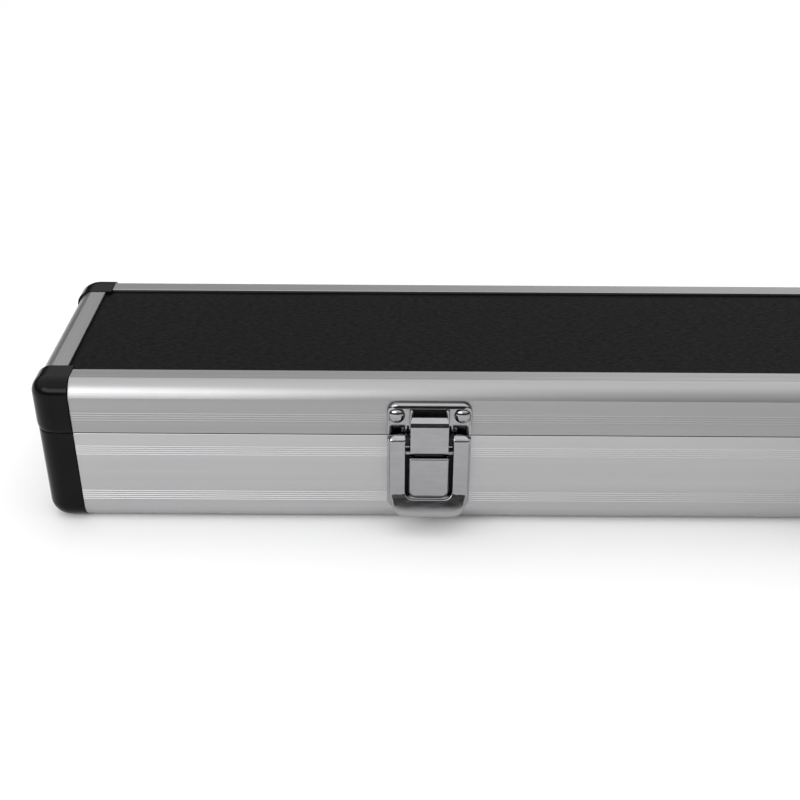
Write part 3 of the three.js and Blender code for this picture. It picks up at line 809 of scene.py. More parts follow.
latchFrame = {side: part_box(f"lever_pin_{side}") for side in sideNames}
latchX = {side: (low.x + high.x) / 2 for side, (low, high) in latchFrame.items()}
pinLow, pinHigh = latchFrame["left"]
pivotProud = (case["front"] - (pinLow.y + pinHigh.y) / 2) / mm
pivotZ = (pinLow.z + pinHigh.z) / 2 / mm
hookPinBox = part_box("hook_pin_left")
hookPinZ = (hookPinBox[0].z + hookPinBox[1].z) / 2 / mm

strike = {
    "half": 20.0, "low": 52.5, "high": 69.9, "corner": 5.0, "rimFrom": 55.0,
    "windowHalf": 7.6, "windowLow": 58.0, "windowHigh": 67.0, "bead": 0.85, "beadProud": 3.1,
    "catchLow": 57.6, "catchHigh": 60.6, "catchProud": 4.6,
}
# (in from the edge, proud): a roll outside, a leaning face and an undercut side within
strikeRim = [(0.0, 0.4), *[(1.4 - 1.4 * math.cos(math.radians(a)), 1.3 + 1.4 * math.sin(math.radians(a)))
                           for a in range(0, 69, 17)],
             (2.05, 3.02), (2.2, 3.0), (2.28, 2.6), (2.3, 1.9), (2.5, 1.45), (2.5, 0.6)]


def addRim(shape, spot, half, start, high, corner, section):
    # a bead up one side of a plate, over the top and down the other
    line = [((-half, start), (1, 0)), ((-half, (start + high - corner) / 2), (1, 0))]
    for i in range(11):
        angle = math.radians(180 - 90 * i / 10)
        outward2 = (math.cos(angle), math.sin(angle))
        line.append(((-half + corner + corner * outward2[0], high - corner + corner * outward2[1]),
                     (-outward2[0], -outward2[1])))
    line += [((-x, z), (-dx, dz)) for (x, z), (dx, dz) in reversed(line)]
    rows = []
    for i, ((x, z), (dx, dz)) in enumerate(line):
        # full over the top, slim at the sides and lower still at its two ends
        wide = 0.42 + 0.58 * abs(dz)
        tall = 0.25 if i in (0, len(line) - 1) else 0.6 + 0.4 * abs(dz)
        rows.append([shape.verts.new(spot((x + dx * inset * wide) * mm, (0.6 + (proud - 0.6) * tall) * mm,
                                          (z + dz * inset * wide) * mm)) for inset, proud in section])
    bridge(shape, rows)
    shape.faces.new(rows[0])
    shape.faces.new(rows[-1])


def makeStrike(side):
    # a plate with a rolled rim over its top, a window between two beads, and the catch that the hook takes
    shape = bmesh.new()
    half, spot = strike["half"], about(latchX[side])
    addStamping(shape, onFront, latchX[side], (-half, strike["low"]), (half, strike["high"]),
                (0.8, 0.8, strike["corner"], strike["corner"]), plateEdge)
    addRim(shape, spot, half + 0.05, strike["rimFrom"], strike["high"] + 0.05, strike["corner"], strikeRim)
    bead, tall = strike["bead"], strike["beadProud"]
    for hand in (-1, 1):
        centre = hand * (strike["windowHalf"] + bead)
        addStamping(shape, onFront, latchX[side], (centre - bead, strike["windowLow"]),
                    (centre + bead, strike["windowHigh"]), (0.8, 0.8, 0.8, 0.8), softProfile(1.3, tall, 0.7, 5))
    reach, catchLow, catchHigh = strike["catchProud"], strike["catchLow"], strike["catchHigh"]
    lip = [(1.3, catchLow), *arcRun((reach - 0.5, catchLow + 0.5), 0.5, -90, 0, 4),
           *arcRun((reach - 0.6, catchHigh - 0.6), 0.6, 0, 90, 4), (1.3, catchHigh)]
    addStrip(shape, spot, lip, -strike["windowHalf"] + 0.4, strike["windowHalf"] - 0.4)
    piece = outward(objectFrom(f"latchStrike{side.capitalize()}", shape))
    # painted shade: a near-black plate fills the window, standing in for the shade inside it
    shadePlate = bmesh.new()
    addStamping(shadePlate, onFront, latchX[side], (-strike["windowHalf"], strike["catchHigh"]),
                (strike["windowHalf"], strike["windowHigh"]), (0.3, 0.3, 0.3, 0.3), [(0.0, 1.3), (0.0, 1.56)])
    finished(outward(objectFrom(f"strikeWell{side.capitalize()}", shadePlate)), "lid", "blackened", [])
    return finished(piece, "lid", "chrome", [f"latch_strike_{side}"], 38)


# the last three sizes place a near-black plate of painted shade behind the lever
latchBase = {"half": 20.0, "low": 10.5, "high": 50.5, "corner": 4.0, "coverHalf": 9.5, "coverLow": 19.9,
             "coverHigh": 43.0, "coverProud": 7.9, "earIn": 9.5, "earOut": 10.7,
             "shadeHalf": 12.4, "shadeLow": 19.0, "shadeHigh": 45.5}


def makeLatchBase(side):
    shape = bmesh.new()
    half, corner = latchBase["half"], latchBase["corner"]
    addStamping(shape, onFront, latchX[side], (-half, latchBase["low"]), (half, latchBase["high"]),
                (corner, corner, 1, 1), plateEdge)
    coverHalf = latchBase["coverHalf"]
    addStamping(shape, onFront, latchX[side], (-coverHalf, latchBase["coverLow"]),
                (coverHalf, latchBase["coverHigh"]), (4.0, 4.0, 0.6, 0.6),
                [(0.0, 1.2), (0.0, 6.7), (0.1, 7.1), (0.32, 7.4), (0.55, 7.52), (1.5, latchBase["coverProud"])])
    piece = outward(objectFrom(f"latchBase{side.capitalize()}", shape))
    ears = bmesh.new()
    for hand in (-1, 1):
        outline = [(1.2, pivotZ - 3), (pivotProud, pivotZ - 3), *arcRun((pivotProud, pivotZ), 3, -80, 100, 12),
                   (1.2, pivotZ + 0.4)]
        low, high = sorted((hand * latchBase["earIn"], hand * latchBase["earOut"]))
        addStrip(ears, about(latchX[side]), outline, low, high)
    tag = side.capitalize()
    # painted shade: the ears get the near-black finish, for the shade between the lever's arms
    finished(softened(outward(objectFrom(f"latchEars{tag}", ears)), 0.2 * mm), "base", "blackened", [])
    # painted shade: a near-black plate behind the lever stands in for the shade in the gap between its arms
    shadePlate = bmesh.new()
    shadeHalf = latchBase["shadeHalf"]
    addStamping(shadePlate, onFront, latchX[side], (-shadeHalf, latchBase["shadeLow"]),
                (shadeHalf, latchBase["shadeHigh"]), (4, 4, 1, 1), [(0.0, 1.3), (0.0, 1.56)])
    finished(outward(objectFrom(f"latchWell{tag}", shadePlate)), "base", "blackened", [])
    return finished(piece, "base", "chrome", [f"latch_base_{side}"], 38)


def joined(*pieces):
    # several closed shapes in one piece
    shape = bmesh.new()
    for piece in pieces:
        shape.from_mesh(piece.data)
    name = pieces[0].name
    for piece in pieces:
        bpy.data.objects.remove(piece)
    mesh = bpy.data.meshes.new(name)
    shape.to_mesh(mesh)
    shape.free()
    made = bpy.data.objects.new(name, mesh)
    bpy.context.scene.collection.objects.link(made)
    return made


lever = {
    "half": 19.1, "lowHalf": 17.8, "opening": 11.4, "openLow": 20.9, "bottom": 12.0, "crease": 23.5,
    "front": 8.6, "sheet": 0.9, "flare": 11.5, "steep": 0.47, "level": 0.235,  # slopes below the crease
    "outerCorner": 7.0, "innerCorner": 4.0, "shoulder": 5.5, "innerShoulder": 1.5,
}


def leverFace(along):
    # (proud, z) and the outward normal of the lever's face at a distance along it
    curl = lever["front"] - pivotProud
    if along > pivotZ:
        angle = (along - pivotZ) / curl
        return ((pivotProud + curl * math.cos(angle), pivotZ + curl * math.sin(angle)),
                (math.cos(angle), math.sin(angle)))
    # below the crease the sheet flares out, less and less steeply
    share = min(max((lever["crease"] - along) / lever["flare"], 0), 1)
    steep, level = lever["steep"], lever["level"]
    proud = lever["front"] + lever["flare"] * (steep * share - (steep - level) * share * share / 2)
    slope = steep - (steep - level) * share if share > 0 else 0.0
    size = math.hypot(1, slope)
    return (proud, along), (1 / size, slope / size)


def leverRims():
    # matching points of the outer and inner rims on the left half, from the arm's top to the middle
    top = pivotZ + (lever["front"] - pivotProud) * math.pi / 2
    crease, half, opening = lever["crease"], lever["half"], lever["opening"]
    outer, inner = [], []
    heights = [top - (top - pivotZ) * i / 12 for i in range(12)]
    heights += [pivotZ - (pivotZ - crease) * i / 14 for i in range(15)]
    big, small = lever["shoulder"], lever["innerShoulder"]
    for height in heights:
        over = min(max(height - (top - big), 0) / big, 1)
        outer.append((-half + big * (1 - math.sqrt(1 - over * over)) * 0.9, height))
        inside = top - (top - height) * (top - lever["openLow"] - lever["innerCorner"]) / (top - crease)
        over = min(max(inside - (top - small), 0) / small, 1)
        inner.append((-opening - small * (1 - math.sqrt(1 - over * over)) * 0.9, inside))
    low, lowHalf, openLow = lever["bottom"], lever["lowHalf"], lever["openLow"]
    big, small, steps = lever["outerCorner"], lever["innerCorner"], 16
    for i in range(1, 7):  # the outer side narrows down to its corner
        share = i / 6
        outer.append((-half + (half - lowHalf) * share, crease + (low + big - crease) * share))
    for i in range(1, steps + 1):
        angle = math.radians(180 + 90 * i / steps)
        outer.append((-lowHalf + big + big * math.cos(angle), low + big + big * math.sin(angle)))
    for i in range(1, steps + 7):
        angle = math.radians(180 + 90 * i / (steps + 6))
        inner.append((-opening + small + small * math.cos(angle), openLow + small + small * math.sin(angle)))
    for i in range(1, 7):
        outer.append(((-lowHalf + big) * (1 - i / 6), low))
        inner.append(((-opening + small) * (1 - i / 6), openLow))
    return outer, inner


def makeLever(side):
    # the bow's skin with both rims rolled back, given its sheet thickness, and a lug behind each arm
    outer, inner = leverRims()
    outer += [(-x, z) for x, z in reversed(outer[:-1])]
    inner += [(-x, z) for x, z in reversed(inner[:-1])]
    outerRoll = [(0.0, 3.6), (0.0, 1.5), (0.1, 0.95), (0.35, 0.5), (0.75, 0.17), (1.3, 0.0)]
    innerRoll = [(0.45, 0.0), (0.25, 0.06), (0.1, 0.2), (0.0, 0.5), (0.0, 1.9)]
    shape = bmesh.new()
    rows = []
    for (ox, oz), (ix, iz) in zip(outer, inner):
        width = math.hypot(ix - ox, iz - oz)
        squeeze = min(1, width / 7)
        across = [(inset * squeeze / width, depth) for inset, depth in outerRoll]
        across += [(0.35, 0.0), (0.5, 0.0), (0.65, 0.0)]
        across += [(1 - inset * squeeze / width, depth) for inset, depth in innerRoll]
        row = []
        for share, depth in across:
            x, along = ox + (ix - ox) * share, oz + (iz - oz) * share
            (proud, z), (outP, outZ) = leverFace(along)
            depth *= 1 - 0.8 * min(max(along - pivotZ + 1.5, 0) / 3, 1)
            row.append(shape.verts.new(onFront(latchX[side] + x * mm, (proud - depth * outP) * mm,
                                               (z - depth * outZ) * mm)))
        rows.append(row)
    for one, two in zip(rows, rows[1:]):
        for i in range(len(one) - 1):
            shape.faces.new([one[i], two[i], two[i + 1], one[i + 1]])
    shape.normal_update()
    if sum(face.normal.y for face in shape.faces) > 0:
        bmesh.ops.reverse_faces(shape, faces=shape.faces)
    bow = walled(objectFrom(f"latchLever{side.capitalize()}", shape), lever["sheet"] * mm)
    lugs = bmesh.new()
    for hand in (-1, 1):
        outline = [(8.0, 41.5), (8.0, pivotZ + 0.4), *arcRun((pivotProud + 0.2, pivotZ + 0.1), 2.6, 20, 170, 9),
                   *arcRun((pivotProud - 0.4, 43.4), 1.9, 180, 270, 5)]
        low, high = sorted((hand * 12.1, hand * 13.2))
        addStrip(lugs, about(latchX[side]), outline, low, high)
    pair = softened(outward(objectFrom("lugs", lugs)), 0.2 * mm)
    return finished(joined(bow, pair), f"lever_{side}", "satin", [f"latch_lever_{side}"], 40)


hook = {"half": 9.0, "low": 46.1, "high": 63.0, "front": 8.6, "sheet": 1.2, "tip": 4.3, "tipRise": 1.05,
        "tipHalf": 8.3, "facet": 2.1, "lean": 0.75, "eye": 1.9, "eyeHalf": 7.0}


def makeHook(side):
    # a bent strip: a tip sloping back over the strike, a leaning facet below it and a flat face
    sheet, front, low, high = hook["sheet"], hook["front"], hook["low"], hook["high"]
    facet, lean, tip, rise = hook["facet"], hook["lean"], hook["tip"], hook["tipRise"]
    outline = [(tip, high + rise), *arcRun((front - lean - 0.5, high - 0.5), 0.5, 72, 26, 5),
               (front, high - facet), *arcRun((front - 0.9, low + 0.9), 0.9, 0, -90, 8), (pivotProud, low),
               (pivotProud, low + sheet), *arcRun((front - sheet - 0.4, low + sheet + 0.4), 0.4, -90, 0, 8),
               (front - sheet, high - facet - 0.3), (front - lean - sheet, high - sheet - 0.2),
               (tip, high + rise - sheet)]
    shape = bmesh.new()
    addStrip(shape, about(latchX[side]), outline, -hook["half"], hook["half"])
    for vert in shape.verts:
        if vert.co.z > (high - 2) * mm and vert.co.y > case["front"] - (tip + 0.1) * mm:  # the tip narrows
            vert.co.x = latchX[side] + (vert.co.x - latchX[side]) * hook["tipHalf"] / hook["half"]
    strip = softened(outward(objectFrom(f"latchHook{side.capitalize()}", shape)), 0.22 * mm, 6, 50)
    # painted shade: the eye round the pin is near-black, standing in for the shade it sits in
    eye = bmesh.new()
    reach, bore = hook["eye"], 1.3
    ring = [(bore, -hook["eyeHalf"]), (reach - 0.2, -hook["eyeHalf"]), (reach, -hook["eyeHalf"] + 0.2),
            (reach, hook["eyeHalf"] - 0.2), (reach - 0.2, hook["eyeHalf"]), (bore, hook["eyeHalf"]),
            (bore, -hook["eyeHalf"])]
    place = lambda a, b, along: onFront(latchX[side] + along * mm, (pivotProud + a) * mm, (hookPinZ + b) * mm)
    addLathe(eye, place, ring, 24)
    finished(outward(objectFrom(f"hookEye{side.capitalize()}", eye)), f"hook_{side}", "blackened", [])
    return finished(strip, f"hook_{side}", "chrome", [f"latch_hook_{side}"], 16)


def makePin(name, body, node, radius, centre, halfLength):
    # a pin along x with softened ends; centre is (x, proud, z) in millimetres off the front
    shape = bmesh.new()
    soft = 0.25
    profile = [(0, -halfLength), (radius - soft, -halfLength), (radius, -halfLength + soft),
               (radius, halfLength - soft), (radius - soft, halfLength), (0, halfLength)]
    place = lambda a, b, along: onFront((centre[0] + along) * mm, (centre[1] + a) * mm, (centre[2] + b) * mm)
    addLathe(shape, place, profile, 20)
    return finished(outward(objectFrom(name, shape)), body, "nickel", [node])


for side in sideNames:
    makeStrike(side)
    makeLatchBase(side)
    makeLever(side)
    makeHook(side)
    x = latchX[side] / mm
    tag = side.capitalize()
    makePin(f"leverPin{tag}", "base", f"lever_pin_{side}", 1.2, (x, pivotProud, pivotZ), 13)
    makePin(f"hookPin{tag}", f"lever_{side}", f"hook_pin_{side}", 1.0, (x, pivotProud, hookPinZ), 13)
print("latches made")


# rivets: one turned head, set on every point

rivet = {"head": 3.9, "dome": 2.5, "shank": 1.8, "seat": 1.5, "tail": 3.0, "wall": 1.8, "tailDepth": 1.0}
baseRivet = {**rivet, "head": 3.5, "dome": 2.0}
bracketRivet = {**rivet, "head": 3.3, "dome": 1.8}
hingeRivet = {"head": 2.6, "dome": 1.2, "shank": 1.3, "seat": 1.5, "tail": 2.0, "wall": 1.8, "tailDepth": 0.6}


def rivetTemplate(sizes):
    head, dome, seat = sizes["head"], sizes["dome"], sizes["seat"]
    deep = -sizes["wall"] - sizes["tailDepth"]
    profile = [(0, deep), (sizes["tail"] - 0.3, deep),
               (sizes["tail"], -sizes["wall"]), (sizes["shank"], -sizes["wall"]), (sizes["shank"], seat),
               (head - 0.1, seat), (head, seat + 0.25)]
    for i in range(1, 9):
        angle = math.radians(90 * i / 8)
        profile.append((head * math.cos(angle) if i < 8 else 0, seat + 0.25 + (dome - 0.25) * math.sin(angle)))
    shape = bmesh.new()
    addLathe(shape, lambda a, b, along: Vector((a * mm, b * mm, along * mm)), profile, 24)
    return outward(objectFrom("rivetTemplate", shape))


def setRivets(name, body, nodes, spots, sizes, turn, finish="chrome"):
    template = rivetTemplate(sizes)
    shape = bmesh.new()
    for spot in spots:
        shape.verts.new(spot)
    points = objectFrom(name, shape)
    piece = grown(points, rivetSet, {"Head": template, "Turn": turn, "Finish": finishes[finish]})
    bpy.data.objects.remove(template)
    return finished(piece, body, finish, nodes, 35)


def nodeSpots(nodes):
    spots = []
    for node in nodes:
        low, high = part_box(node)
        spots.append(onFront((low.x + high.x) / 2, 0, (low.z + high.z) / 2))
    return spots


outOfFront = (math.radians(90), 0, 0)
outOfRear = (math.radians(-90), 0, 0)
strikeNodes = [f"strike_rivet_{letter}_{side}" for side in sideNames for letter in "ab"]
baseNodes = [f"base_rivet_{letter}_{side}" for side in sideNames for letter in "ab"]
bracketNodes = [f"bracket_rivet_{side}_{letter}" for side in sideNames for letter in "ab"]
setRivets("strikeRivets", "lid", strikeNodes, nodeSpots(strikeNodes), rivet, outOfFront)
setRivets("latchBaseRivets", "base", baseNodes, nodeSpots(baseNodes), baseRivet, outOfFront)
setRivets("bracketRivets", "base", bracketNodes, nodeSpots(bracketNodes), bracketRivet, outOfFront)
print("rivets set")


# handle: bent rod, moulded grip and two brackets

swing = next(joint for joint in frame["joints"] if joint["name"] == "handle_swing")
handlePivot = Vector(swing["pos_m"])
gripLow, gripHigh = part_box("handle_grip")
gripCentre = (gripLow + gripHigh) / 2
lean = math.atan2(handlePivot.y - gripCentre.y, handlePivot.z - gripCentre.z)
handle = {"rod": 3.0, "arm": 56.0, "upperBend": 4.5, "lowerBend": 10.0, "stub": 77.0, "sides": 20}
drop = (handlePivot - gripCentre).length / mm


def hung(x, back, down):
    # a place on the handle: millimetres along x, off its plane, and down from the pivot
    offset = Vector((x, back, -down)) * mm
    return handlePivot + Matrix.Rotation(-lean, 3, "X") @ offset


def bailLine():
    # (x, down) points of the rod's middle, from stub to stub
    arm, up, low = handle["arm"], handle["upperBend"], handle["lowerBend"]
    half = [(-handle["stub"], 0.0), (-68.0, 0.0), (-arm - up - 1, 0.0)]
    for i in range(9):
        angle = math.radians(90 - 90 * i / 8)
        half.append((-arm - up + up * math.cos(angle), up - up * math.sin(angle)))
    half += [(-arm, drop * 0.4), (-arm, drop - low - 1)]
    for i in range(13):
        angle = math.radians(180 - 90 * i / 12)
        half.append((-arm + low + low * math.cos(angle), drop - low + low * math.sin(angle)))
    return half + [(-x, down) for x, down in reversed(half)]


def makeBail():
    line = [Vector((x, down)) for x, down in bailLine()]
    shape = bmesh.new()
    rings = []
    last = len(line) - 1
    for i, spot in enumerate(line):
        ahead = (line[min(i + 1, last)] - line[max(i - 1, 0)]).normalized()
        side = Vector((-ahead.y, ahead.x))
        # (share of the radius, shift along) for each ring here; the ends are softened and closed
        ends = [(0.0, 0.0), (0.88, 0.0), (1.0, 0.35)]
        stops = [(1, 0)]
        if i == 0:
            stops = ends
        elif i == last:
            stops = [(share, -shift) for share, shift in reversed(ends)]
        for share, shift in stops:
            reach = handle["rod"] * share
            ring = []
            for k in range(handle["sides"] if share else 1):
                angle = 2 * math.pi * k / handle["sides"]
                at = spot + side * reach * math.cos(angle) + ahead * shift
                ring.append(shape.verts.new(hung(at.x, reach * math.sin(angle), at.y)))
            rings.append(ring)
    bridge(shape, rings)
    return finished(outward(objectFrom("handleBail", shape)), "handle", "chrome", ["handle_bail"])


grip = {"half": 44.0, "tall": 8.2, "thick": 7.4, "wave": 0.7, "waves": 4, "collar": 3.0, "groove": 0.6}


def gripReach(along):
    # how thick the grip is, as a share, with finger waves and a groove behind each collar
    size, half = 1.0, grip["half"]
    inside = abs(along) / half
    fromEnd = half - abs(along)
    if fromEnd < 2.0:
        size *= 0.86 + 0.14 * math.sin(math.pi / 2 * fromEnd / 2.0)
    if abs(fromEnd - grip["collar"] - 1.2) < 0.9:
        size -= 0.07 * math.cos(math.pi / 2 * (fromEnd - grip["collar"] - 1.2) / 0.9)
    if inside < 0.86:
        size -= 0.04 * (1 - math.cos(2 * math.pi * grip["waves"] * (along / (1.72 * half) + 0.5)))
    return size


def makeGrip():
    shape = bmesh.new()
    rings, sides, half = [], 36, grip["half"]
    stops = [-half + 2 * half * i / 176 for i in range(177)]
    bore = handle["rod"] + 0.4
    for along in [-half, *stops, half]:
        ring = []
        isBore = along in (-half, half) and len(rings) in (0, len(stops) + 1)
        for k in range(sides):
            angle = 2 * math.pi * k / sides
            reachY = bore if isBore else grip["thick"] * gripReach(along)
            reachZ = bore if isBore else grip["tall"] * gripReach(along)
            ring.append(shape.verts.new(hung(along, reachY * math.cos(angle), drop + reachZ * math.sin(angle))))
        rings.append(ring)
    bridge(shape, [*rings, rings[0]])
    piece = outward(objectFrom("handleGrip", shape))
    return finished(piece, "handle", "grip", ["handle_grip"], 45)


bracket = {"half": 9.0, "low": 24.0, "high": 49.0, "earIn": 5.0, "earOut": 7.0, "earRound": 5.2}


def makeBracket(side):
    low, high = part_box(f"handle_bracket_{side}")
    centreX = (low.x + high.x) / 2
    shape = bmesh.new()
    half = bracket["half"]
    addStamping(shape, onFront, centreX, (-half, bracket["low"]), (half, bracket["high"]), (3, 3, 3, 3),
                plateEdge)
    piece = outward(objectFrom(f"handleBracket{side.capitalize()}", shape))
    ears = bmesh.new()
    proud = (case["front"] - handlePivot.y) / mm
    z, size = handlePivot.z / mm, bracket["earRound"]
    outline = [(1.2, z - size), *arcRun((proud, z), size, -90, 90, 16), (1.2, z + size)]
    for hand in (-1, 1):
        near, far = sorted((hand * bracket["earIn"], hand * bracket["earOut"]))
        addStrip(ears, about(centreX), outline, near, far)
    pair = softened(outward(objectFrom("ears", ears)), 0.35 * mm, 3)
    return finished(joined(piece, pair), "base", "chrome", [f"handle_bracket_{side}"], 38)


makeBail()
makeGrip()
for side in sideNames:
    makeBracket(side)
print("handle made")


# hinges: stamped leaves with rolled knuckles on a pin

hingeJoint = next(joint for joint in frame["joints"] if joint["name"] == "lid_hinge")
hingeProud = (hingeJoint["pos_m"][1] - case["rear"]) / mm
hingeZ = hingeJoint["pos_m"][2] / mm
hinge = {"half": 25.0, "knuckleHalf": 9.0, "barrel": 3.0, "bore": 1.8, "reach": 19.5, "clear": 3.7,
         "gap": 0.3, "rivetX": 17.0, "rivetUp": 11.5, "pin": 1.5}


def makeHingeLeaf(which, level):
    node = f"hinge_leaf_{level}_{which}"
    low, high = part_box(node)
    centreX = (low.x + high.x) / 2
    up = -1 if level == "base" else 1
    half, knuckle, barrel = hinge["half"], hinge["knuckleHalf"], hinge["barrel"]
    zs = sorted((hingeZ + up * hinge["clear"], hingeZ + up * hinge["reach"]))
    radii = (3.5, 3.5, 0.5, 0.5) if up < 0 else (0.5, 0.5, 3.5, 3.5)
    shape = bmesh.new()
    addStamping(shape, onRear, centreX, (-half, zs[0]), (half, zs[1]), radii,
                [(0.0, 0.3), (0.0, 1.15), (0.1, 1.4), (0.35, 1.5)])
    clear = knuckle + hinge["gap"]
    stretches = [(-knuckle, knuckle)] if up > 0 else [(-half, -clear), (clear, half)]
    for start, end in stretches:
        ring = [(hinge["bore"], start), (barrel - 0.3, start), (barrel, start + 0.3), (barrel, end - 0.3),
                (barrel - 0.3, end), (hinge["bore"], end), (hinge["bore"], start)]
        place = lambda a, b, along: onRear(centreX + along * mm, (hingeProud + a) * mm, (hingeZ + b) * mm)
        addLathe(shape, place, ring, 28)
        web = [(0.35, hingeZ), (1.45, hingeZ), (1.5, hingeZ + up * 2.3), (1.5, hingeZ + up * 4.6),
               (0.35, hingeZ + up * 4.6)]
        addStrip(shape, lambda x, proud, z: onRear(centreX + x, proud, z), web, start + 0.2, end - 0.2)
    if up > 0:
        tab = [(hingeProud + 2.4, hingeZ - 0.6), *arcRun((hingeProud + 4.8, hingeZ), 0.6, -90, 90, 5),
               (hingeProud + 2.4, hingeZ + 0.6)]
        addStrip(shape, lambda x, proud, z: onRear(centreX + x, proud, z), tab, -knuckle + 0.4, knuckle - 0.4)
    name = f"hingeLeaf{level.capitalize()}{which.capitalize()}"
    return finished(outward(objectFrom(name, shape)), level, "nickel", [node], 38)


def makeHingePin(which):
    node = f"hinge_pin_{which}"
    low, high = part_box(node)
    shape = bmesh.new()
    half, radius = (high.x - low.x) / 2 / mm, hinge["pin"]
    profile = [(0, -half - 0.3), (radius * 0.7, -half - 0.1), (radius, -half + 0.4), (radius, half - 0.4),
               (radius * 0.7, half + 0.1), (0, half + 0.3)]
    centreX = (low.x + high.x) / 2
    addLathe(shape, lambda a, b, along: onRear(centreX + along * mm, (hingeProud + a) * mm, (hingeZ + b) * mm),
             profile, 20)
    return finished(outward(objectFrom(f"hingePin{which.capitalize()}", shape)), "base", "nickel", [node])


hingeNames = ("left", "middle", "right")
for which in hingeNames:
    makeHingeLeaf(which, "base")
    makeHingeLeaf(which, "lid")
    makeHingePin(which)
for level, up in (("base", -1), ("lid", 1)):
    spots = []
    for which in hingeNames:
        low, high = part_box(f"hinge_pin_{which}")
        for hand in (-1, 1):
            x = (low.x + high.x) / 2 + hand * hinge["rivetX"] * mm
            spots.append(onRear(x, 0, (hingeZ + up * hinge["rivetUp"]) * mm))
    setRivets(f"hingeRivets{level.capitalize()}", level, [], spots, hingeRivet, outOfRear, "nickel")
print("hinges made")


# foam lining: the cut block in the base and the egg-crate pad in the lid

foam = {"voxel": 2.2, "soft": 3, "bumpHeight": 8.0, "bumpPitch": 27.0, "step": 2.7}


def makeBaseFoam():
    # the cut block, remeshed so that every edge of the pockets is soft
    source = frame["nodes"]["base_foam"]
    shape = bmesh.new()
    shape.from_mesh(source.data)
    bmesh.ops.remove_doubles(shape, verts=shape.verts, dist=0.005 * mm)
    block = objectFrom("baseFoam", shape)
    remesh = block.modifiers.new("cells", "REMESH")
    remesh.mode = "VOXEL"
    remesh.voxel_size = foam["voxel"] * mm
    smooth = block.modifiers.new("soft", "SMOOTH")
    smooth.factor = 0.5
    smooth.iterations = foam["soft"]
    piece = finished(plain(block), "base", "foam", ["base_foam"], 60)
    return piece


def makeLidFoam():
    low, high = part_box("lid_foam")
    shape = bmesh.new()
    shape.verts.new((0, 0, 0))
    pad = grown(objectFrom("lidFoam", shape), eggCrate, {
        "Length": high.x - low.x, "Width": high.y - low.y, "Depth": high.z - low.z,
        "Bump Height": foam["bumpHeight"] * mm, "Bump Pitch": foam["bumpPitch"] * mm,
        "Step": foam["step"] * mm,
        "Finish": finishes["foam"],
    })
    pad.data.transform(Matrix.Translation(((low.x + high.x) / 2, (low.y + high.y) / 2, high.z)))
    piece = finished(outward(pad), "lid", "foam", ["lid_foam"], 60)
    return piece


makeBaseFoam()
makeLidFoam()
print("foam made")


# camera, floor and lights

view = {"fromLeft": 173.7, "offFront": 470.1, "height": 350.0, "down": 30.7, "roll": 0.35, "lens": 52.65}


def setCamera():
    data = bpy.data.cameras.new("camera")
    data.lens = view["lens"]
    data.sensor_width = 36
    data.clip_start = 0.01
    camera = bpy.data.objects.new("camera", data)
    bpy.context.scene.collection.objects.link(camera)
    spot = Vector((case["left"] + view["fromLeft"] * mm, case["front"] - view["offFront"] * mm,
                   view["height"] * mm))
    pitch = Matrix.Rotation(math.radians(90 - view["down"]), 4, "X")
    turn = pitch @ Matrix.Rotation(math.radians(view["roll"]), 4, "Z")
    camera.matrix_world = Matrix.Translation(spot) @ turn
    bpy.context.scene.camera = camera


studio = {"floorHalf": 60.0, "floorTone": 0.82, "backdrop": 0.95, "horizon": 0.03, "sky": 0.93,
          "overhead": 0.6, "skyFrom": 0.27, "skyFull": 0.47, "overheadFull": 0.9}


lamps = {
    "keyLight": {"spot": (-0.95, -1.0, 0.8), "aim": (-0.3, 0, 0.05), "size": (1.2, 0.5), "power": 9},
    "fillLight": {"spot": (1.1, 2.4, 2.3), "aim": (0.2, 0.9, 0), "size": (2.0, 1.2), "power": 9},
}


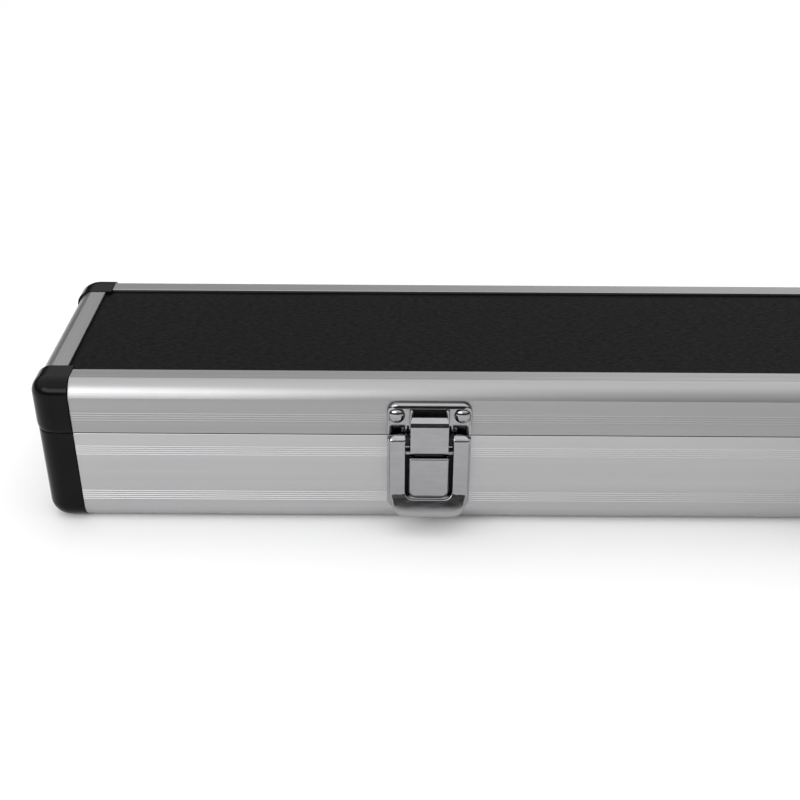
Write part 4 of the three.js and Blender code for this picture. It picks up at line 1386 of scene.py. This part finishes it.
def setFloor():
    shape = bmesh.new()
    size = studio["floorHalf"]
    corners = [(-size, -size, 0), (size, -size, 0), (size, size, 0), (-size, size, 0)]
    shape.faces.new([shape.verts.new(spot) for spot in corners])
    floor = objectFrom("floor", shape)
    pale = studio["floorTone"]
    material, tree, shader = newMaterial("paleFloor", {"Base Color": (pale, pale, pale, 1), "Roughness": 0.9,
                                                       "Specular IOR Level": 0.1})
    floor.data.materials.append(material)


def addLight(name, spot, aim, size, power):
    data = bpy.data.lights.new(name, "AREA")
    data.shape = "RECTANGLE"
    data.size, data.size_y = size
    data.energy = power
    lamp = bpy.data.objects.new(name, data)
    bpy.context.scene.collection.objects.link(lamp)
    direction = Vector(aim) - Vector(spot)
    lamp.matrix_world = Matrix.Translation(spot) @ direction.to_track_quat("-Z", "Y").to_matrix().to_4x4()


def setWorld():
    # dark at the horizon, bright overhead, and an even pale backdrop where it is seen directly
    world = bpy.data.worlds.new("studio")
    world.use_nodes = True
    tree = world.node_tree
    coords = addNode(tree, "ShaderNodeTexCoord")
    height = addNode(tree, "ShaderNodeSeparateXYZ", {"Vector": coords.outputs["Generated"]}).outputs["Z"]
    sky = addNode(tree, "ShaderNodeMapRange", {
        "Value": height, "From Min": studio["skyFrom"], "From Max": studio["skyFull"],
        "To Min": studio["horizon"], "To Max": studio["sky"],
    }, interpolation_type="SMOOTHSTEP")
    overhead = addNode(tree, "ShaderNodeMapRange", {
        "Value": height, "From Min": studio["skyFull"], "From Max": studio["overheadFull"],
        "To Min": 0.0, "To Max": studio["overhead"],
    }, interpolation_type="SMOOTHSTEP")
    glow = addNode(tree, "ShaderNodeMath", {
        0: sky.outputs["Result"], 1: overhead.outputs["Result"],
    }, operation="ADD")
    path = addNode(tree, "ShaderNodeLightPath")
    seen = addNode(tree, "ShaderNodeMix", {
        "Factor": path.outputs["Is Camera Ray"], "A": glow.outputs["Value"], "B": studio["backdrop"],
    }, data_type="FLOAT")
    tree.links.new(seen.outputs["Result"], tree.nodes["Background"].inputs["Strength"])
    tree.nodes["Background"].inputs["Color"].default_value = (1, 1, 1, 1)
    bpy.context.scene.world = world


setCamera()
setFloor()
setWorld()
for name, lamp in lamps.items():
    addLight(name, lamp["spot"], lamp["aim"], lamp["size"], lamp["power"])
bpy.context.scene.view_settings.view_transform = "Standard"
print("camera, floor and lights set")
